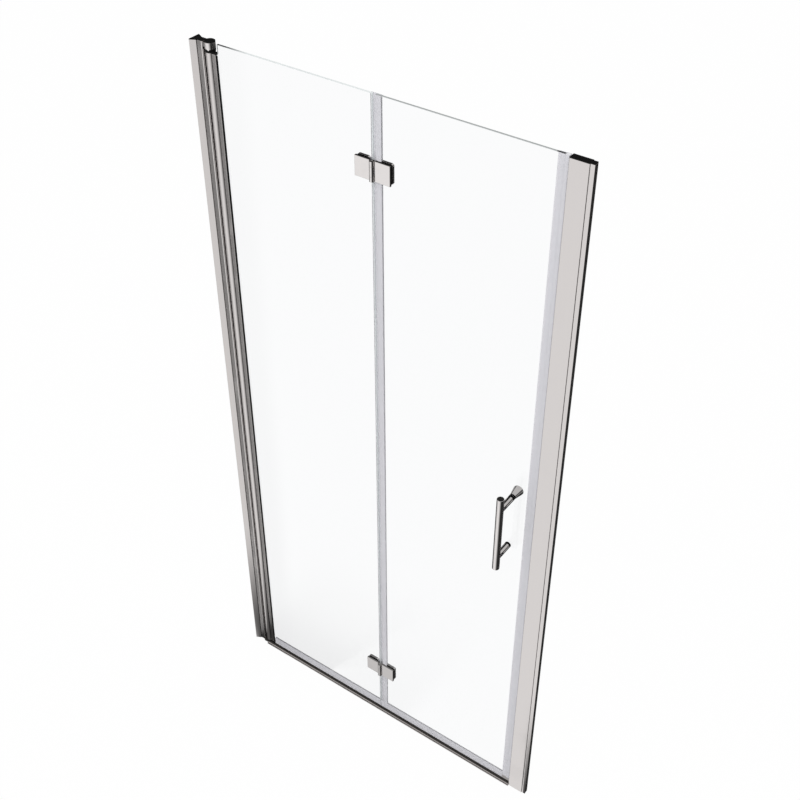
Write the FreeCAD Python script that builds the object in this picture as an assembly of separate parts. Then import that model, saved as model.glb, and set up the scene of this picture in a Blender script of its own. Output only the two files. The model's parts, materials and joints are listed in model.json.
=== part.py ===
import FreeCAD, Part
import math
import os

# A bi-fold pivot shower door for a niche, in millimetres.
# X runs along the opening from the hinge wall to the strike wall, with 0 in the middle.
# Y runs from the dry side into the shower, with 0 at the middle of the glass.
# Z runs up from the shower tray, with 0 on the tray.

# Opening and glass
OPENING_WIDTH = 1000.0
DOOR_HEIGHT = 2000.0
GLASS_THICKNESS = 6.0
GLASS_ARRIS = 0.6
GLASS_BOTTOM = 25.0
GLASS_HOLE_RADIUS = 5.0
FOLD_GAP = 10.0
FOLD_SHIFT = -2.0

# Fits: sliding profiles, pins in bearings, pins and screws in their seats, soft pieces on glass
SLIDE_FIT = 0.2
RUNNING_FIT = 0.05
SEAT_FIT = 0.02
SOFT_FIT = 0.1

# Holes for wall screws in both wall channels, as an outer and an inner pair
WALL_HOLE_RADIUS = 2.5
WALL_HOLE_OUTER_SPACING = 1700.0
WALL_HOLE_INNER_SPACING = 560.0

# Hinge wall channel and post
CHANNEL_BASE_DEPTH = 33.0
CHANNEL_REACH = 14.5
CHANNEL_WALL = 1.4
CHANNEL_WEB = 2.0
POST_STANDOFF = 4.0
POST_WIDTH = 27.0
POST_DEPTH = 15.2
POST_WALL = 1.8
POST_TO_TUBE = 4.0
STRIP_WIDTH = 9.0
STRIP_LIP_WIDTH = 5.0
STRIP_BASE = 1.8
STRIP_GAP = 0.4
FRAME_CAP_THICKNESS = 2.0
FRAME_CAP_PLUG = 2.5

# Screws that lock the sliding profiles, seen from the shower side
LOCK_SCREW_RADIUS = 1.75
LOCK_SCREW_HEAD_RADIUS = 3.2
LOCK_SCREW_HEAD = 2.2
LOCK_SCREW_SPACING = 700.0
LOCK_SCREW_COUNT = 3
LOCK_SCREW_FROM_WALL = 8.2
LOCK_SCREW_POINT = 1.0
SCREW_SLOT_WIDTH = 0.9
SCREW_SLOT_DEPTH = 0.8

# Pivot tube with its glass pocket: a long lip in front of the glass and a short one behind it
PIVOT_OFFSET = 3.0
TUBE_RADIUS = 12.0
TUBE_WALL = 2.0
POCKET_FROM_AXIS = 6.9
LIP_REACH = 21.0
REAR_LIP_REACH = 12.5
LIP_WALL = 1.6
GASKET_THICKNESS = 1.4
GASKET_PROUD = 4.5
REAR_GASKET_PROUD = 1.5
GASKET_BULGE = 1.0
GLASS_EDGE_GAP = 1.5
NOTCH_CLEARANCE = 1.5
NOTCH_RADIUS = 5.0

# Top and bottom pivot
PIVOT_PIN_RADIUS = 4.0
PIN_IN_BLOCK = 12.0
PIN_IN_CAP = 18.0
END_CAP_FLANGE = 3.5
END_CAP_PLUG = 20.0
END_CAP_OVERHANG = 2.5
PIVOT_GAP = 0.2
BUSH_HEIGHT = 4.3
BLOCK_RADIUS = 12.5
BLOCK_HEIGHT = 15.0
BLOCK_COVER = 2.2
BLOCK_RISE = 2.0
KEY_HALF_WIDTH = 3.3
KEY_DEPTH = 2.9
KEY_LENGTH = 5.0
KEY_TURN = 20.0
ARM_HEIGHT = 10.0
ARM_INSERT = 19.0
ARM_SCREW_RADIUS = 2.0
ARM_SCREW_HEAD_RADIUS = 3.6
ARM_SCREW_HEAD = 2.2
ARM_SCREW_DEPTH = 8.0
ARM_SCREW_SPACING = 8.0
WASHER_RADIUS = 9.0
WASHER_THICKNESS = 1.4

# Sill
SILL_HEIGHT = 10.0
SILL_WALL = 1.6
SILL_FRONT = 8.5
SILL_BACK = 14.5
SILL_FLANGE = 5.0
SILL_FLANGE_THICKNESS = 1.8
SILL_FLANGE_CUT = 15.0
SILL_EDGE_RADIUS = 1.2
PIVOT_BLOCK_LENGTH = 30.0
PIVOT_BLOCK_INSET = 1.0
PIN_HOLE_FLOOR = 1.0

# Strike side
STRIKE_STANDOFF = 10.0
STRIKE_WIDTH = 43.0
STRIKE_DEPTH = 17.0
STRIKE_WALL = 1.8
STRIKE_FACE = 4.0
STRIKE_CHANNEL_REACH = 30.0
STRIKE_CHANNEL_WALL = 1.5
STRIKE_CHANNEL_WEB = 2.0
STRIKE_SCREW_FROM_WALL = 20.0
STRIKE_MAGNET_WIDTH = 10.0
STRIKE_MAGNET_DEPTH = 2.4
CLOSING_GAP = 1.0

# Seals
SEAL_WALL = 1.2
BOTTOM_SEAL_GRIP = 13.4
BOTTOM_SEAL_DROP = 12.8
BOTTOM_SEAL_FIN_Y = 1.0
BOTTOM_SEAL_FIN_DROP = 9.5
SEAL_END_GAP = 1.5
SEAL_ROW_GAP = 0.6
FOLD_SEAL_GRIP = 14.0
FOLD_SEAL_OVERLAP = 5.5
FOLD_SEAL_REAR_GAP = 0.4
MAGNET_SEAL_GRIP = 14.0
MAGNET_HOUSING = 10.5
MAGNET_HOUSING_DEPTH = 11.0
MAGNET_FIT = 0.15

# Glass hinges of the fold
UPPER_HINGE_FROM_TOP = 171.0
LOWER_HINGE_FROM_GLASS_BOTTOM = 166.0
HINGE_AXIS_SHIFT = -2.0
PLATE_WIDTH = 39.0
PLATE_HEIGHT = 48.0
PLATE_THICKNESS = 5.0
PLATE_GAP = 14.5
PLATE_EDGE = 0.6
PAD_THICKNESS = 1.5
PAD_MARGIN = 0.4
CLAMP_WIDTH = 32.0
CLAMP_THICKNESS = 6.0
CLAMP_CORNER = 5.0
AXIS_PROUD = 1.0
BARREL_RADIUS = 5.5
KNUCKLE_END = 12.0
KNUCKLE_FIT = 0.3
KNUCKLE_WEB = 4.0
HINGE_PIN_RADIUS = 2.5
HINGE_PIN_RECESS = 0.5
HINGE_BUSH_WALL = 1.0
HINGE_SCREW_RADIUS = 2.5
HINGE_SCREW_HEAD_RADIUS = 4.5
HINGE_SCREW_HEAD = 3.6
HINGE_SCREW_SPACING = 26.0
HINGE_SCREW_HOLD = 3.6
HINGE_SCREW_CLEARANCE = 0.3
SOCKET_RADIUS = 2.0
SOCKET_DEPTH = 2.0
SOCKET_SIDES = 6

# Handle
HANDLE_FROM_STRIKE = 66.0
HANDLE_CENTRE_Z = 1018.5
HANDLE_LENGTH = 228.0
HANDLE_POST_INSET = 36.5
HANDLE_STANDOFF = 53.0
BAR_RADIUS = 9.0
BAR_EDGE = 0.8
HANDLE_POST_RADIUS = 8.0
HANDLE_WASHER_THICKNESS = 1.0
FOOT_PAD_THICKNESS = 1.5
STUD_RADIUS = 3.0
STUD_IN_BAR = 7.0
STUD_IN_POST = 20.0
STUD_IN_KNOB = 14.0
KNOB_RADIUS = 13.5
KNOB_LENGTH = 28.0
KNOB_EDGE = 1.0

# Places worked out from the sizes above
HINGE_WALL_X = -OPENING_WIDTH / 2
STRIKE_WALL_X = OPENING_WIDTH / 2
GLASS_FACE = GLASS_THICKNESS / 2
FRAME_TOP = DOOR_HEIGHT - FRAME_CAP_THICKNESS

SLOT_HALF = POST_DEPTH / 2 + SLIDE_FIT
NOSE_HALF = SLOT_HALF + CHANNEL_WALL
POST_BACK_X = HINGE_WALL_X + POST_STANDOFF
POST_FACE_X = POST_BACK_X + POST_WIDTH
POST_HOLLOW_HALF = POST_DEPTH / 2 - POST_WALL
PIVOT_X = POST_FACE_X + POST_TO_TUBE + TUBE_RADIUS
PIVOT_Y = PIVOT_OFFSET

COVER_TOP = DOOR_HEIGHT + BLOCK_RISE
BLOCK_TOP = COVER_TOP - BLOCK_COVER
BLOCK_BOTTOM = BLOCK_TOP - BLOCK_HEIGHT
ARM_TOP = FRAME_TOP - FRAME_CAP_PLUG - SLIDE_FIT
BUSH_BOTTOM = BLOCK_BOTTOM - BUSH_HEIGHT
TUBE_TOP = BUSH_BOTTOM - PIVOT_GAP - END_CAP_FLANGE
WASHER_TOP = SILL_HEIGHT + WASHER_THICKNESS
TUBE_BOTTOM = WASHER_TOP + PIVOT_GAP + END_CAP_FLANGE

LIP_INNER = GLASS_FACE + GASKET_THICKNESS
LIP_OUTER = LIP_INNER + LIP_WALL
LIP_END_X = PIVOT_X + LIP_REACH
REAR_LIP_END_X = PIVOT_X + REAR_LIP_REACH
POCKET_X = PIVOT_X + POCKET_FROM_AXIS
POCKET_BACK_X = POCKET_X - LIP_WALL
END_CAP_END_X = LIP_END_X + END_CAP_OVERHANG
GASKET_END_X = LIP_END_X + GASKET_PROUD
REAR_GASKET_END_X = REAR_LIP_END_X + REAR_GASKET_PROUD
PIVOT_GLASS_LEFT = POCKET_X + GLASS_EDGE_GAP
NOTCH_RIGHT = END_CAP_END_X + NOTCH_CLEARANCE
NOTCH_BOTTOM = TUBE_TOP - NOTCH_CLEARANCE

STRIKE_RIGHT = STRIKE_WALL_X - STRIKE_STANDOFF
STRIKE_LEFT = STRIKE_RIGHT - STRIKE_WIDTH
STRIKE_HALF = STRIKE_DEPTH / 2
STRIKE_HOLLOW_HALF = STRIKE_HALF - STRIKE_WALL
STRIKE_CHANNEL_HALF = STRIKE_HOLLOW_HALF - SLIDE_FIT

SEAL_INNER = GLASS_FACE + SOFT_FIT
SEAL_OUTER = SEAL_INNER + SEAL_WALL
MAGNET_SEAL_RIGHT = STRIKE_LEFT - CLOSING_GAP
MAGNET_HOUSING_LEFT = MAGNET_SEAL_RIGHT - MAGNET_HOUSING
FOLDING_GLASS_RIGHT = MAGNET_HOUSING_LEFT - SOFT_FIT

FOLD_X = (PIVOT_X + STRIKE_LEFT) / 2 + FOLD_SHIFT
PIVOT_GLASS_RIGHT = FOLD_X - FOLD_GAP / 2
FOLDING_GLASS_LEFT = FOLD_X + FOLD_GAP / 2
HINGE_AXIS_X = FOLD_X + HINGE_AXIS_SHIFT
PAD_FRONT = GLASS_FACE + PAD_THICKNESS
PLATE_FRONT = PAD_FRONT + PLATE_THICKNESS
CLAMP_BACK = PAD_FRONT + CLAMP_THICKNESS
HINGE_AXIS_Y = -(PLATE_FRONT + AXIS_PROUD)
HINGE_HEIGHTS = {
    "upper": DOOR_HEIGHT - UPPER_HINGE_FROM_TOP,
    "lower": GLASS_BOTTOM + LOWER_HINGE_FROM_GLASS_BOTTOM,
}
PIVOT_SIDE = -1
FOLD_SIDE = 1

SEAL_BASE_BOTTOM = GLASS_BOTTOM - SOFT_FIT - SEAL_WALL
SEAL_TOP = GLASS_BOTTOM + BOTTOM_SEAL_GRIP
FOLD_SEAL_BOTTOM = SEAL_TOP + SEAL_ROW_GAP

HANDLE_X = STRIKE_LEFT - HANDLE_FROM_STRIKE
BAR_Y = -(GLASS_FACE + HANDLE_STANDOFF)
HANDLE_TOP = HANDLE_CENTRE_Z + HANDLE_LENGTH / 2
HANDLE_BOTTOM = HANDLE_CENTRE_Z - HANDLE_LENGTH / 2
UPPER_POST_Z = HANDLE_TOP - HANDLE_POST_INSET
LOWER_POST_Z = HANDLE_BOTTOM + HANDLE_POST_INSET
WASHER_FACE = GLASS_FACE + HANDLE_WASHER_THICKNESS
FOOT_PAD_FACE = GLASS_FACE + FOOT_PAD_THICKNESS


def block(x0, x1, y0, y1, z0, z1):
    """A box between two opposite corners."""
    return Part.makeBox(x1 - x0, y1 - y0, z1 - z0, FreeCAD.Vector(x0, y0, z0))


def rod(radius, start, end):
    """A round bar from one point to another."""
    base = FreeCAD.Vector(*start)
    run = FreeCAD.Vector(*end) - base
    return Part.makeCylinder(radius, run.Length, base, run)


def upright(points, z0, z1):
    """An outline in X and Y, carried up from z0 to z1."""
    corners = [FreeCAD.Vector(x, y, z0) for x, y in points]
    face = Part.Face(Part.makePolygon(corners + corners[:1]))
    return face.extrude(FreeCAD.Vector(0, 0, z1 - z0))


def lengthwise(points, x0, x1):
    """An outline in Y and Z, carried along X from x0 to x1."""
    corners = [FreeCAD.Vector(x0, y, z) for y, z in points]
    face = Part.Face(Part.makePolygon(corners + corners[:1]))
    return face.extrude(FreeCAD.Vector(x1 - x0, 0, 0))


def join(first, *others):
    """One solid from pieces that touch or overlap."""
    return first.fuse(list(others)).removeSplitter()


def group(solids):
    """Separate solids that share one node."""
    return Part.makeCompound(solids)


def edges_along(shape, axis):
    """The straight edges of a shape that run along one of its axes."""
    found = []
    for edge in shape.Edges:
        if not isinstance(edge.Curve, Part.Line):
            continue
        run = edge.Vertexes[-1].Point - edge.Vertexes[0].Point
        if abs(run.dot(axis)) > run.Length * math.cos(math.radians(1.0)):
            found.append(edge)
    return found


def edges_on_plane(shape, axis, height):
    """The edges of a shape that lie whole on a plane square to an axis."""
    near = 1e-4
    return [
        edge
        for edge in shape.Edges
        if all(abs(v.Point.dot(axis) - height) < near for v in edge.Vertexes)
    ]


AXIS_X = FreeCAD.Vector(1, 0, 0)
AXIS_Y = FreeCAD.Vector(0, 1, 0)
AXIS_Z = FreeCAD.Vector(0, 0, 1)


def lock_screw_heights():
    """The heights of the screws that lock a sliding profile in its channel."""
    middle = (LOCK_SCREW_COUNT - 1) / 2
    return [DOOR_HEIGHT / 2 + (i - middle) * LOCK_SCREW_SPACING for i in range(LOCK_SCREW_COUNT)]


def wall_hole_heights():
    """The heights of the wall screw holes: the outer pair, then the inner pair."""
    spacings = (WALL_HOLE_OUTER_SPACING, WALL_HOLE_INNER_SPACING)
    return [DOOR_HEIGHT / 2 + side * spacing / 2 for spacing in spacings for side in (-1, 1)]


def pan_screw(x, z, seat_y, end_y, radius, head_radius, head):
    """A slotted pan-head screw along Y: its head stands on seat_y and its shank runs in to end_y."""
    shank = rod(radius, (x, end_y, z), (x, seat_y, z))
    cap = rod(head_radius, (x, seat_y, z), (x, seat_y + head, z))
    rim = edges_on_plane(cap, AXIS_Y, seat_y + head)
    cap = cap.makeFillet(head / 2, rim)
    slot = block(
        x - head_radius,
        x + head_radius,
        seat_y + head - SCREW_SLOT_DEPTH,
        seat_y + 2 * head,
        z - SCREW_SLOT_WIDTH / 2,
        z + SCREW_SLOT_WIDTH / 2,
    )
    return join(shank, cap).cut(slot)


def hinge_channel_outline():
    """The tapered outline of the hinge wall channel, in X and Y."""
    base = CHANNEL_BASE_DEPTH / 2
    nose_x = HINGE_WALL_X + CHANNEL_REACH
    return [
        (HINGE_WALL_X, PIVOT_Y - base),
        (nose_x, PIVOT_Y - NOSE_HALF),
        (nose_x, PIVOT_Y + NOSE_HALF),
        (HINGE_WALL_X, PIVOT_Y + base),
    ]


def hinge_wall_channel():
    """Tapered channel on the hinge wall: a slot for the post between two hollow flanges."""
    body = upright(hinge_channel_outline(), 0, FRAME_TOP)
    web_x = HINGE_WALL_X + CHANNEL_WEB
    nose_x = HINGE_WALL_X + CHANNEL_REACH
    slot = block(web_x, nose_x, PIVOT_Y - SLOT_HALF, PIVOT_Y + SLOT_HALF, 0, FRAME_TOP)
    fall = (CHANNEL_BASE_DEPTH / 2 - NOSE_HALF) / CHANNEL_REACH
    slant_wall = CHANNEL_WALL * math.hypot(1, fall)
    hollow_rise = CHANNEL_BASE_DEPTH / 2 - fall * CHANNEL_WEB - slant_wall - NOSE_HALF
    cuts = [slot]
    for side in (-1, 1):
        near = PIVOT_Y + side * NOSE_HALF
        far = PIVOT_Y + side * (NOSE_HALF + hollow_rise)
        corners = [(web_x, near), (web_x + hollow_rise / fall, near), (web_x, far)]
        cuts.append(upright(corners, 0, FRAME_TOP))
    for z in wall_hole_heights():
        cuts.append(rod(WALL_HOLE_RADIUS, (HINGE_WALL_X, PIVOT_Y, z), (web_x, PIVOT_Y, z)))
    screw_x = HINGE_WALL_X + LOCK_SCREW_FROM_WALL
    seat_y = PIVOT_Y + NOSE_HALF
    outside_y = PIVOT_Y + CHANNEL_BASE_DEPTH / 2
    for z in lock_screw_heights():
        cuts.append(rod(LOCK_SCREW_HEAD_RADIUS + SLIDE_FIT, (screw_x, seat_y, z), (screw_x, outside_y, z)))
        cuts.append(rod(LOCK_SCREW_RADIUS + SEAT_FIT, (screw_x, PIVOT_Y, z), (screw_x, outside_y, z)))
    return body.cut(cuts)


def arm_bounds(fit):
    """The box of the pivot head's arm in the post, grown by a fit in Y and Z."""
    half = POST_HOLLOW_HALF - SLIDE_FIT + fit
    return (PIVOT_Y - half, PIVOT_Y + half, ARM_TOP - ARM_HEIGHT - fit, ARM_TOP + fit)


def arm_screw_places():
    """The X places of the two screws that hold the pivot head's arm, and their height."""
    middle_x = (HINGE_WALL_X + CHANNEL_REACH + POST_FACE_X) / 2
    height = ARM_TOP - ARM_HEIGHT / 2
    return [(middle_x + side * ARM_SCREW_SPACING / 2, height) for side in (-1, 1)]


def hinge_post():
    """Box profile in the hinge wall channel, with a window for the pivot head's arm."""
    half = POST_DEPTH / 2
    body = block(POST_BACK_X, POST_FACE_X, PIVOT_Y - half, PIVOT_Y + half, 0, FRAME_TOP)
    hollow = block(
        POST_BACK_X + POST_WALL,
        POST_FACE_X - POST_WALL,
        PIVOT_Y - POST_HOLLOW_HALF,
        PIVOT_Y + POST_HOLLOW_HALF,
        0,
        FRAME_TOP,
    )
    window = block(POST_FACE_X - 2 * POST_WALL, POST_FACE_X, *arm_bounds(SLIDE_FIT))
    cuts = [hollow, window]
    screw_x = HINGE_WALL_X + LOCK_SCREW_FROM_WALL
    for z in lock_screw_heights():
        hole = rod(LOCK_SCREW_RADIUS + SEAT_FIT, (screw_x, PIVOT_Y, z), (screw_x, PIVOT_Y + half, z))
        cuts.append(hole)
    for x, z in arm_screw_places():
        hole = rod(ARM_SCREW_RADIUS + SEAT_FIT, (x, PIVOT_Y, z), (x, PIVOT_Y + half, z))
        cuts.append(hole)
    return body.cut(cuts)


def hinge_side_screws():
    """Screws that lock the post in the hinge wall channel."""
    x = HINGE_WALL_X + LOCK_SCREW_FROM_WALL
    seat_y = PIVOT_Y + NOSE_HALF
    end_y = PIVOT_Y + POST_HOLLOW_HALF - LOCK_SCREW_POINT
    sizes = (LOCK_SCREW_RADIUS, LOCK_SCREW_HEAD_RADIUS, LOCK_SCREW_HEAD)
    return group([pan_screw(x, z, seat_y, end_y, *sizes) for z in lock_screw_heights()])


def hinge_frame_cap():
    """Black cap that closes the channel and the post, with a plug in the post."""
    channel = upright(hinge_channel_outline(), FRAME_TOP, DOOR_HEIGHT)
    half = POST_DEPTH / 2
    over_post = block(POST_BACK_X, POST_FACE_X, PIVOT_Y - half, PIVOT_Y + half, FRAME_TOP, DOOR_HEIGHT)
    plug_half = POST_HOLLOW_HALF - SLIDE_FIT
    plug = block(
        POST_BACK_X + POST_WALL + SLIDE_FIT,
        POST_FACE_X - POST_WALL - SLIDE_FIT,
        PIVOT_Y - plug_half,
        PIVOT_Y + plug_half,
        FRAME_TOP - FRAME_CAP_PLUG,
        FRAME_TOP,
    )
    return join(channel, over_post, plug)


def post_seal_strip():
    """Black strip on the post that closes the gap to the pivot tube."""
    base = STRIP_WIDTH / 2
    lip = STRIP_LIP_WIDTH / 2
    base_x = POST_FACE_X + STRIP_BASE
    lip_x = POST_FACE_X + POST_TO_TUBE - STRIP_GAP
    outline = [
        (POST_FACE_X, PIVOT_Y - base),
        (base_x, PIVOT_Y - base),
        (lip_x, PIVOT_Y - lip),
        (lip_x, PIVOT_Y + lip),
        (base_x, PIVOT_Y + base),
        (POST_FACE_X, PIVOT_Y + base),
    ]
    return upright(outline, SILL_HEIGHT, TUBE_TOP)


def pivot_key(fit):
    """The V-shaped key under the pivot head, grown by a fit."""
    half = KEY_HALF_WIDTH + fit
    depth = KEY_DEPTH + fit
    start = PIVOT_Y - BLOCK_RADIUS
    corners = [(-half, BLOCK_BOTTOM), (half, BLOCK_BOTTOM), (0, BLOCK_BOTTOM - depth)]
    points = [FreeCAD.Vector(PIVOT_X + x, start, z) for x, z in corners]
    face = Part.Face(Part.makePolygon(points + points[:1]))
    wedge = face.extrude(FreeCAD.Vector(0, KEY_LENGTH + fit, 0))
    wedge.rotate(FreeCAD.Vector(PIVOT_X, PIVOT_Y, 0), AXIS_Z, KEY_TURN)
    barrel = rod(BLOCK_RADIUS, (PIVOT_X, PIVOT_Y, BUSH_BOTTOM), (PIVOT_X, PIVOT_Y, BLOCK_TOP))
    return wedge.common(barrel)


def top_pivot_block():
    """Round head that holds the top pin, with an arm screwed into the post."""
    head = rod(BLOCK_RADIUS, (PIVOT_X, PIVOT_Y, BLOCK_BOTTOM), (PIVOT_X, PIVOT_Y, BLOCK_TOP))
    arm = block(POST_FACE_X - ARM_INSERT, PIVOT_X, *arm_bounds(0))
    pin_hole = rod(
        PIVOT_PIN_RADIUS + SEAT_FIT,
        (PIVOT_X, PIVOT_Y, BUSH_BOTTOM),
        (PIVOT_X, PIVOT_Y, BLOCK_BOTTOM + PIN_IN_BLOCK),
    )
    cuts = [pin_hole]
    arm_back = arm_bounds(0)[1]
    for x, z in arm_screw_places():
        start = (x, arm_back - ARM_SCREW_DEPTH, z)
        cuts.append(rod(ARM_SCREW_RADIUS + SEAT_FIT, start, (x, arm_back, z)))
    return join(head, arm, pivot_key(0)).cut(cuts)


def pivot_block_screws():
    """Screws through the post into the pivot head's arm."""
    seat_y = PIVOT_Y + POST_DEPTH / 2
    end_y = arm_bounds(0)[1] - ARM_SCREW_DEPTH
    sizes = (ARM_SCREW_RADIUS, ARM_SCREW_HEAD_RADIUS, ARM_SCREW_HEAD)
    return group([pan_screw(x, z, seat_y, end_y, *sizes) for x, z in arm_screw_places()])


def top_pivot_cover():
    """Black lid on the pivot head."""
    lid = rod(BLOCK_RADIUS, (PIVOT_X, PIVOT_Y, BLOCK_TOP), (PIVOT_X, PIVOT_Y, COVER_TOP))
    return lid.makeFillet(BLOCK_COVER / 4, edges_on_plane(lid, AXIS_Z, COVER_TOP))


def top_pivot_bush():
    """Black bush under the pivot head, held from turning by the V key."""
    body = rod(BLOCK_RADIUS, (PIVOT_X, PIVOT_Y, BUSH_BOTTOM), (PIVOT_X, PIVOT_Y, BLOCK_BOTTOM))
    bore = rod(
        PIVOT_PIN_RADIUS + RUNNING_FIT,
        (PIVOT_X, PIVOT_Y, BUSH_BOTTOM),
        (PIVOT_X, PIVOT_Y, BLOCK_BOTTOM),
    )
    return body.cut([bore, pivot_key(SOFT_FIT)])


def top_pivot_pin():
    """Steel pin from the pivot head down into the tube's top cap."""
    lower = BUSH_BOTTOM - PIVOT_GAP - PIN_IN_CAP
    upper = BLOCK_BOTTOM + PIN_IN_BLOCK
    return rod(PIVOT_PIN_RADIUS, (PIVOT_X, PIVOT_Y, lower), (PIVOT_X, PIVOT_Y, upper))


def threshold_sill():
    """Low hollow profile on the tray with a thin flange along its front."""
    outline = [
        (-SILL_FRONT - SILL_FLANGE, 0),
        (SILL_BACK, 0),
        (SILL_BACK, SILL_HEIGHT),
        (-SILL_FRONT, SILL_HEIGHT),
        (-SILL_FRONT, SILL_FLANGE_THICKNESS),
        (-SILL_FRONT - SILL_FLANGE, SILL_FLANGE_THICKNESS),
    ]
    body = lengthwise(outline, POST_FACE_X, STRIKE_LEFT)
    top_edges = [
        edge
        for edge in edges_along(body, AXIS_X)
        if abs(edge.Vertexes[0].Point.z - SILL_HEIGHT) < SEAT_FIT
    ]
    body = body.makeFillet(SILL_EDGE_RADIUS, top_edges)
    hollow = block(
        POST_FACE_X,
        STRIKE_LEFT,
        -SILL_FRONT + SILL_WALL,
        SILL_BACK - SILL_WALL,
        SILL_WALL,
        SILL_HEIGHT - SILL_WALL,
    )
    flange_cut = block(
        POST_FACE_X,
        POST_FACE_X + SILL_FLANGE_CUT,
        -SILL_FRONT - SILL_FLANGE,
        -SILL_FRONT,
        0,
        SILL_HEIGHT,
    )
    pin_hole = rod(
        PIVOT_PIN_RADIUS + SLIDE_FIT,
        (PIVOT_X, PIVOT_Y, SILL_WALL),
        (PIVOT_X, PIVOT_Y, SILL_HEIGHT),
    )
    return body.cut([hollow, flange_cut, pin_hole])


def bottom_pivot_block():
    """Block inside the sill's end that holds the bottom pin."""
    body = block(
        POST_FACE_X + PIVOT_BLOCK_INSET,
        POST_FACE_X + PIVOT_BLOCK_INSET + PIVOT_BLOCK_LENGTH,
        -SILL_FRONT + SILL_WALL + SLIDE_FIT,
        SILL_BACK - SILL_WALL - SLIDE_FIT,
        SILL_WALL,
        SILL_HEIGHT - SILL_WALL - SLIDE_FIT,
    )
    floor = SILL_WALL + PIN_HOLE_FLOOR
    hole = rod(
        PIVOT_PIN_RADIUS + SEAT_FIT,
        (PIVOT_X, PIVOT_Y, floor),
        (PIVOT_X, PIVOT_Y, SILL_HEIGHT),
    )
    return body.cut(hole)


def bottom_pivot_pin():
    """Steel pin from the sill up into the tube's bottom cap."""
    lower = SILL_WALL + PIN_HOLE_FLOOR
    upper = WASHER_TOP + PIVOT_GAP + PIN_IN_CAP
    return rod(PIVOT_PIN_RADIUS, (PIVOT_X, PIVOT_Y, lower), (PIVOT_X, PIVOT_Y, upper))


def bottom_pivot_washer():
    """Thrust washer on the sill that carries the door."""
    low = (PIVOT_X, PIVOT_Y, SILL_HEIGHT)
    high = (PIVOT_X, PIVOT_Y, WASHER_TOP)
    return rod(WASHER_RADIUS, low, high).cut(rod(PIVOT_PIN_RADIUS + RUNNING_FIT, low, high))


def strike_wall_channel():
    """U channel on the strike wall, inside the strike profile."""
    left = STRIKE_WALL_X - STRIKE_CHANNEL_REACH
    web_x = STRIKE_WALL_X - STRIKE_CHANNEL_WEB
    body = block(left, STRIKE_WALL_X, -STRIKE_CHANNEL_HALF, STRIKE_CHANNEL_HALF, 0, FRAME_TOP)
    inner = STRIKE_CHANNEL_HALF - STRIKE_CHANNEL_WALL
    cuts = [block(left, web_x, -inner, inner, 0, FRAME_TOP)]
    for z in wall_hole_heights():
        cuts.append(rod(WALL_HOLE_RADIUS, (web_x, 0, z), (STRIKE_WALL_X, 0, z)))
    screw_x = STRIKE_WALL_X - STRIKE_SCREW_FROM_WALL
    for z in lock_screw_heights():
        hole = rod(LOCK_SCREW_RADIUS + SEAT_FIT, (screw_x, 0, z), (screw_x, STRIKE_HALF, z))
        cuts.append(hole)
    return body.cut(cuts)


def strike_profile():
    """Wide profile over the strike wall channel, with a groove for its magnet."""
    body = block(STRIKE_LEFT, STRIKE_RIGHT, -STRIKE_HALF, STRIKE_HALF, 0, FRAME_TOP)
    hollow = block(
        STRIKE_LEFT + STRIKE_FACE,
        STRIKE_RIGHT,
        -STRIKE_HOLLOW_HALF,
        STRIKE_HOLLOW_HALF,
        0,
        FRAME_TOP,
    )
    groove_half = STRIKE_MAGNET_WIDTH / 2 + SOFT_FIT
    groove = block(
        STRIKE_LEFT,
        STRIKE_LEFT + STRIKE_MAGNET_DEPTH,
        -groove_half,
        groove_half,
        GLASS_BOTTOM,
        FRAME_TOP,
    )
    cuts = [hollow, groove]
    screw_x = STRIKE_WALL_X - STRIKE_SCREW_FROM_WALL
    for z in lock_screw_heights():
        hole = rod(LOCK_SCREW_RADIUS + SEAT_FIT, (screw_x, 0, z), (screw_x, STRIKE_HALF, z))
        cuts.append(hole)
    return body.cut(cuts)


def strike_magnet():
    """Magnet strip in the groove of the strike profile."""
    half = STRIKE_MAGNET_WIDTH / 2
    right = STRIKE_LEFT + STRIKE_MAGNET_DEPTH
    return block(STRIKE_LEFT, right, -half, half, GLASS_BOTTOM, FRAME_TOP)


def strike_side_screws():
    """Screws that lock the strike profile on its wall channel."""
    x = STRIKE_WALL_X - STRIKE_SCREW_FROM_WALL
    end_y = STRIKE_CHANNEL_HALF - STRIKE_CHANNEL_WALL - LOCK_SCREW_POINT
    sizes = (LOCK_SCREW_RADIUS, LOCK_SCREW_HEAD_RADIUS, LOCK_SCREW_HEAD)
    return group([pan_screw(x, z, STRIKE_HALF, end_y, *sizes) for z in lock_screw_heights()])


def strike_frame_cap():
    """Black cap that closes the strike profile and its wall channel."""
    over_strike = block(STRIKE_LEFT, STRIKE_RIGHT, -STRIKE_HALF, STRIKE_HALF, FRAME_TOP, DOOR_HEIGHT)
    over_channel = block(
        STRIKE_RIGHT,
        STRIKE_WALL_X,
        -STRIKE_CHANNEL_HALF,
        STRIKE_CHANNEL_HALF,
        FRAME_TOP,
        DOOR_HEIGHT,
    )
    plug_half = STRIKE_HOLLOW_HALF - SLIDE_FIT
    plug = block(
        STRIKE_LEFT + STRIKE_FACE + SLIDE_FIT,
        STRIKE_WALL_X - STRIKE_CHANNEL_REACH - SLIDE_FIT,
        -plug_half,
        plug_half,
        FRAME_TOP - FRAME_CAP_PLUG,
        FRAME_TOP,
    )
    return join(over_strike, over_channel, plug)


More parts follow.
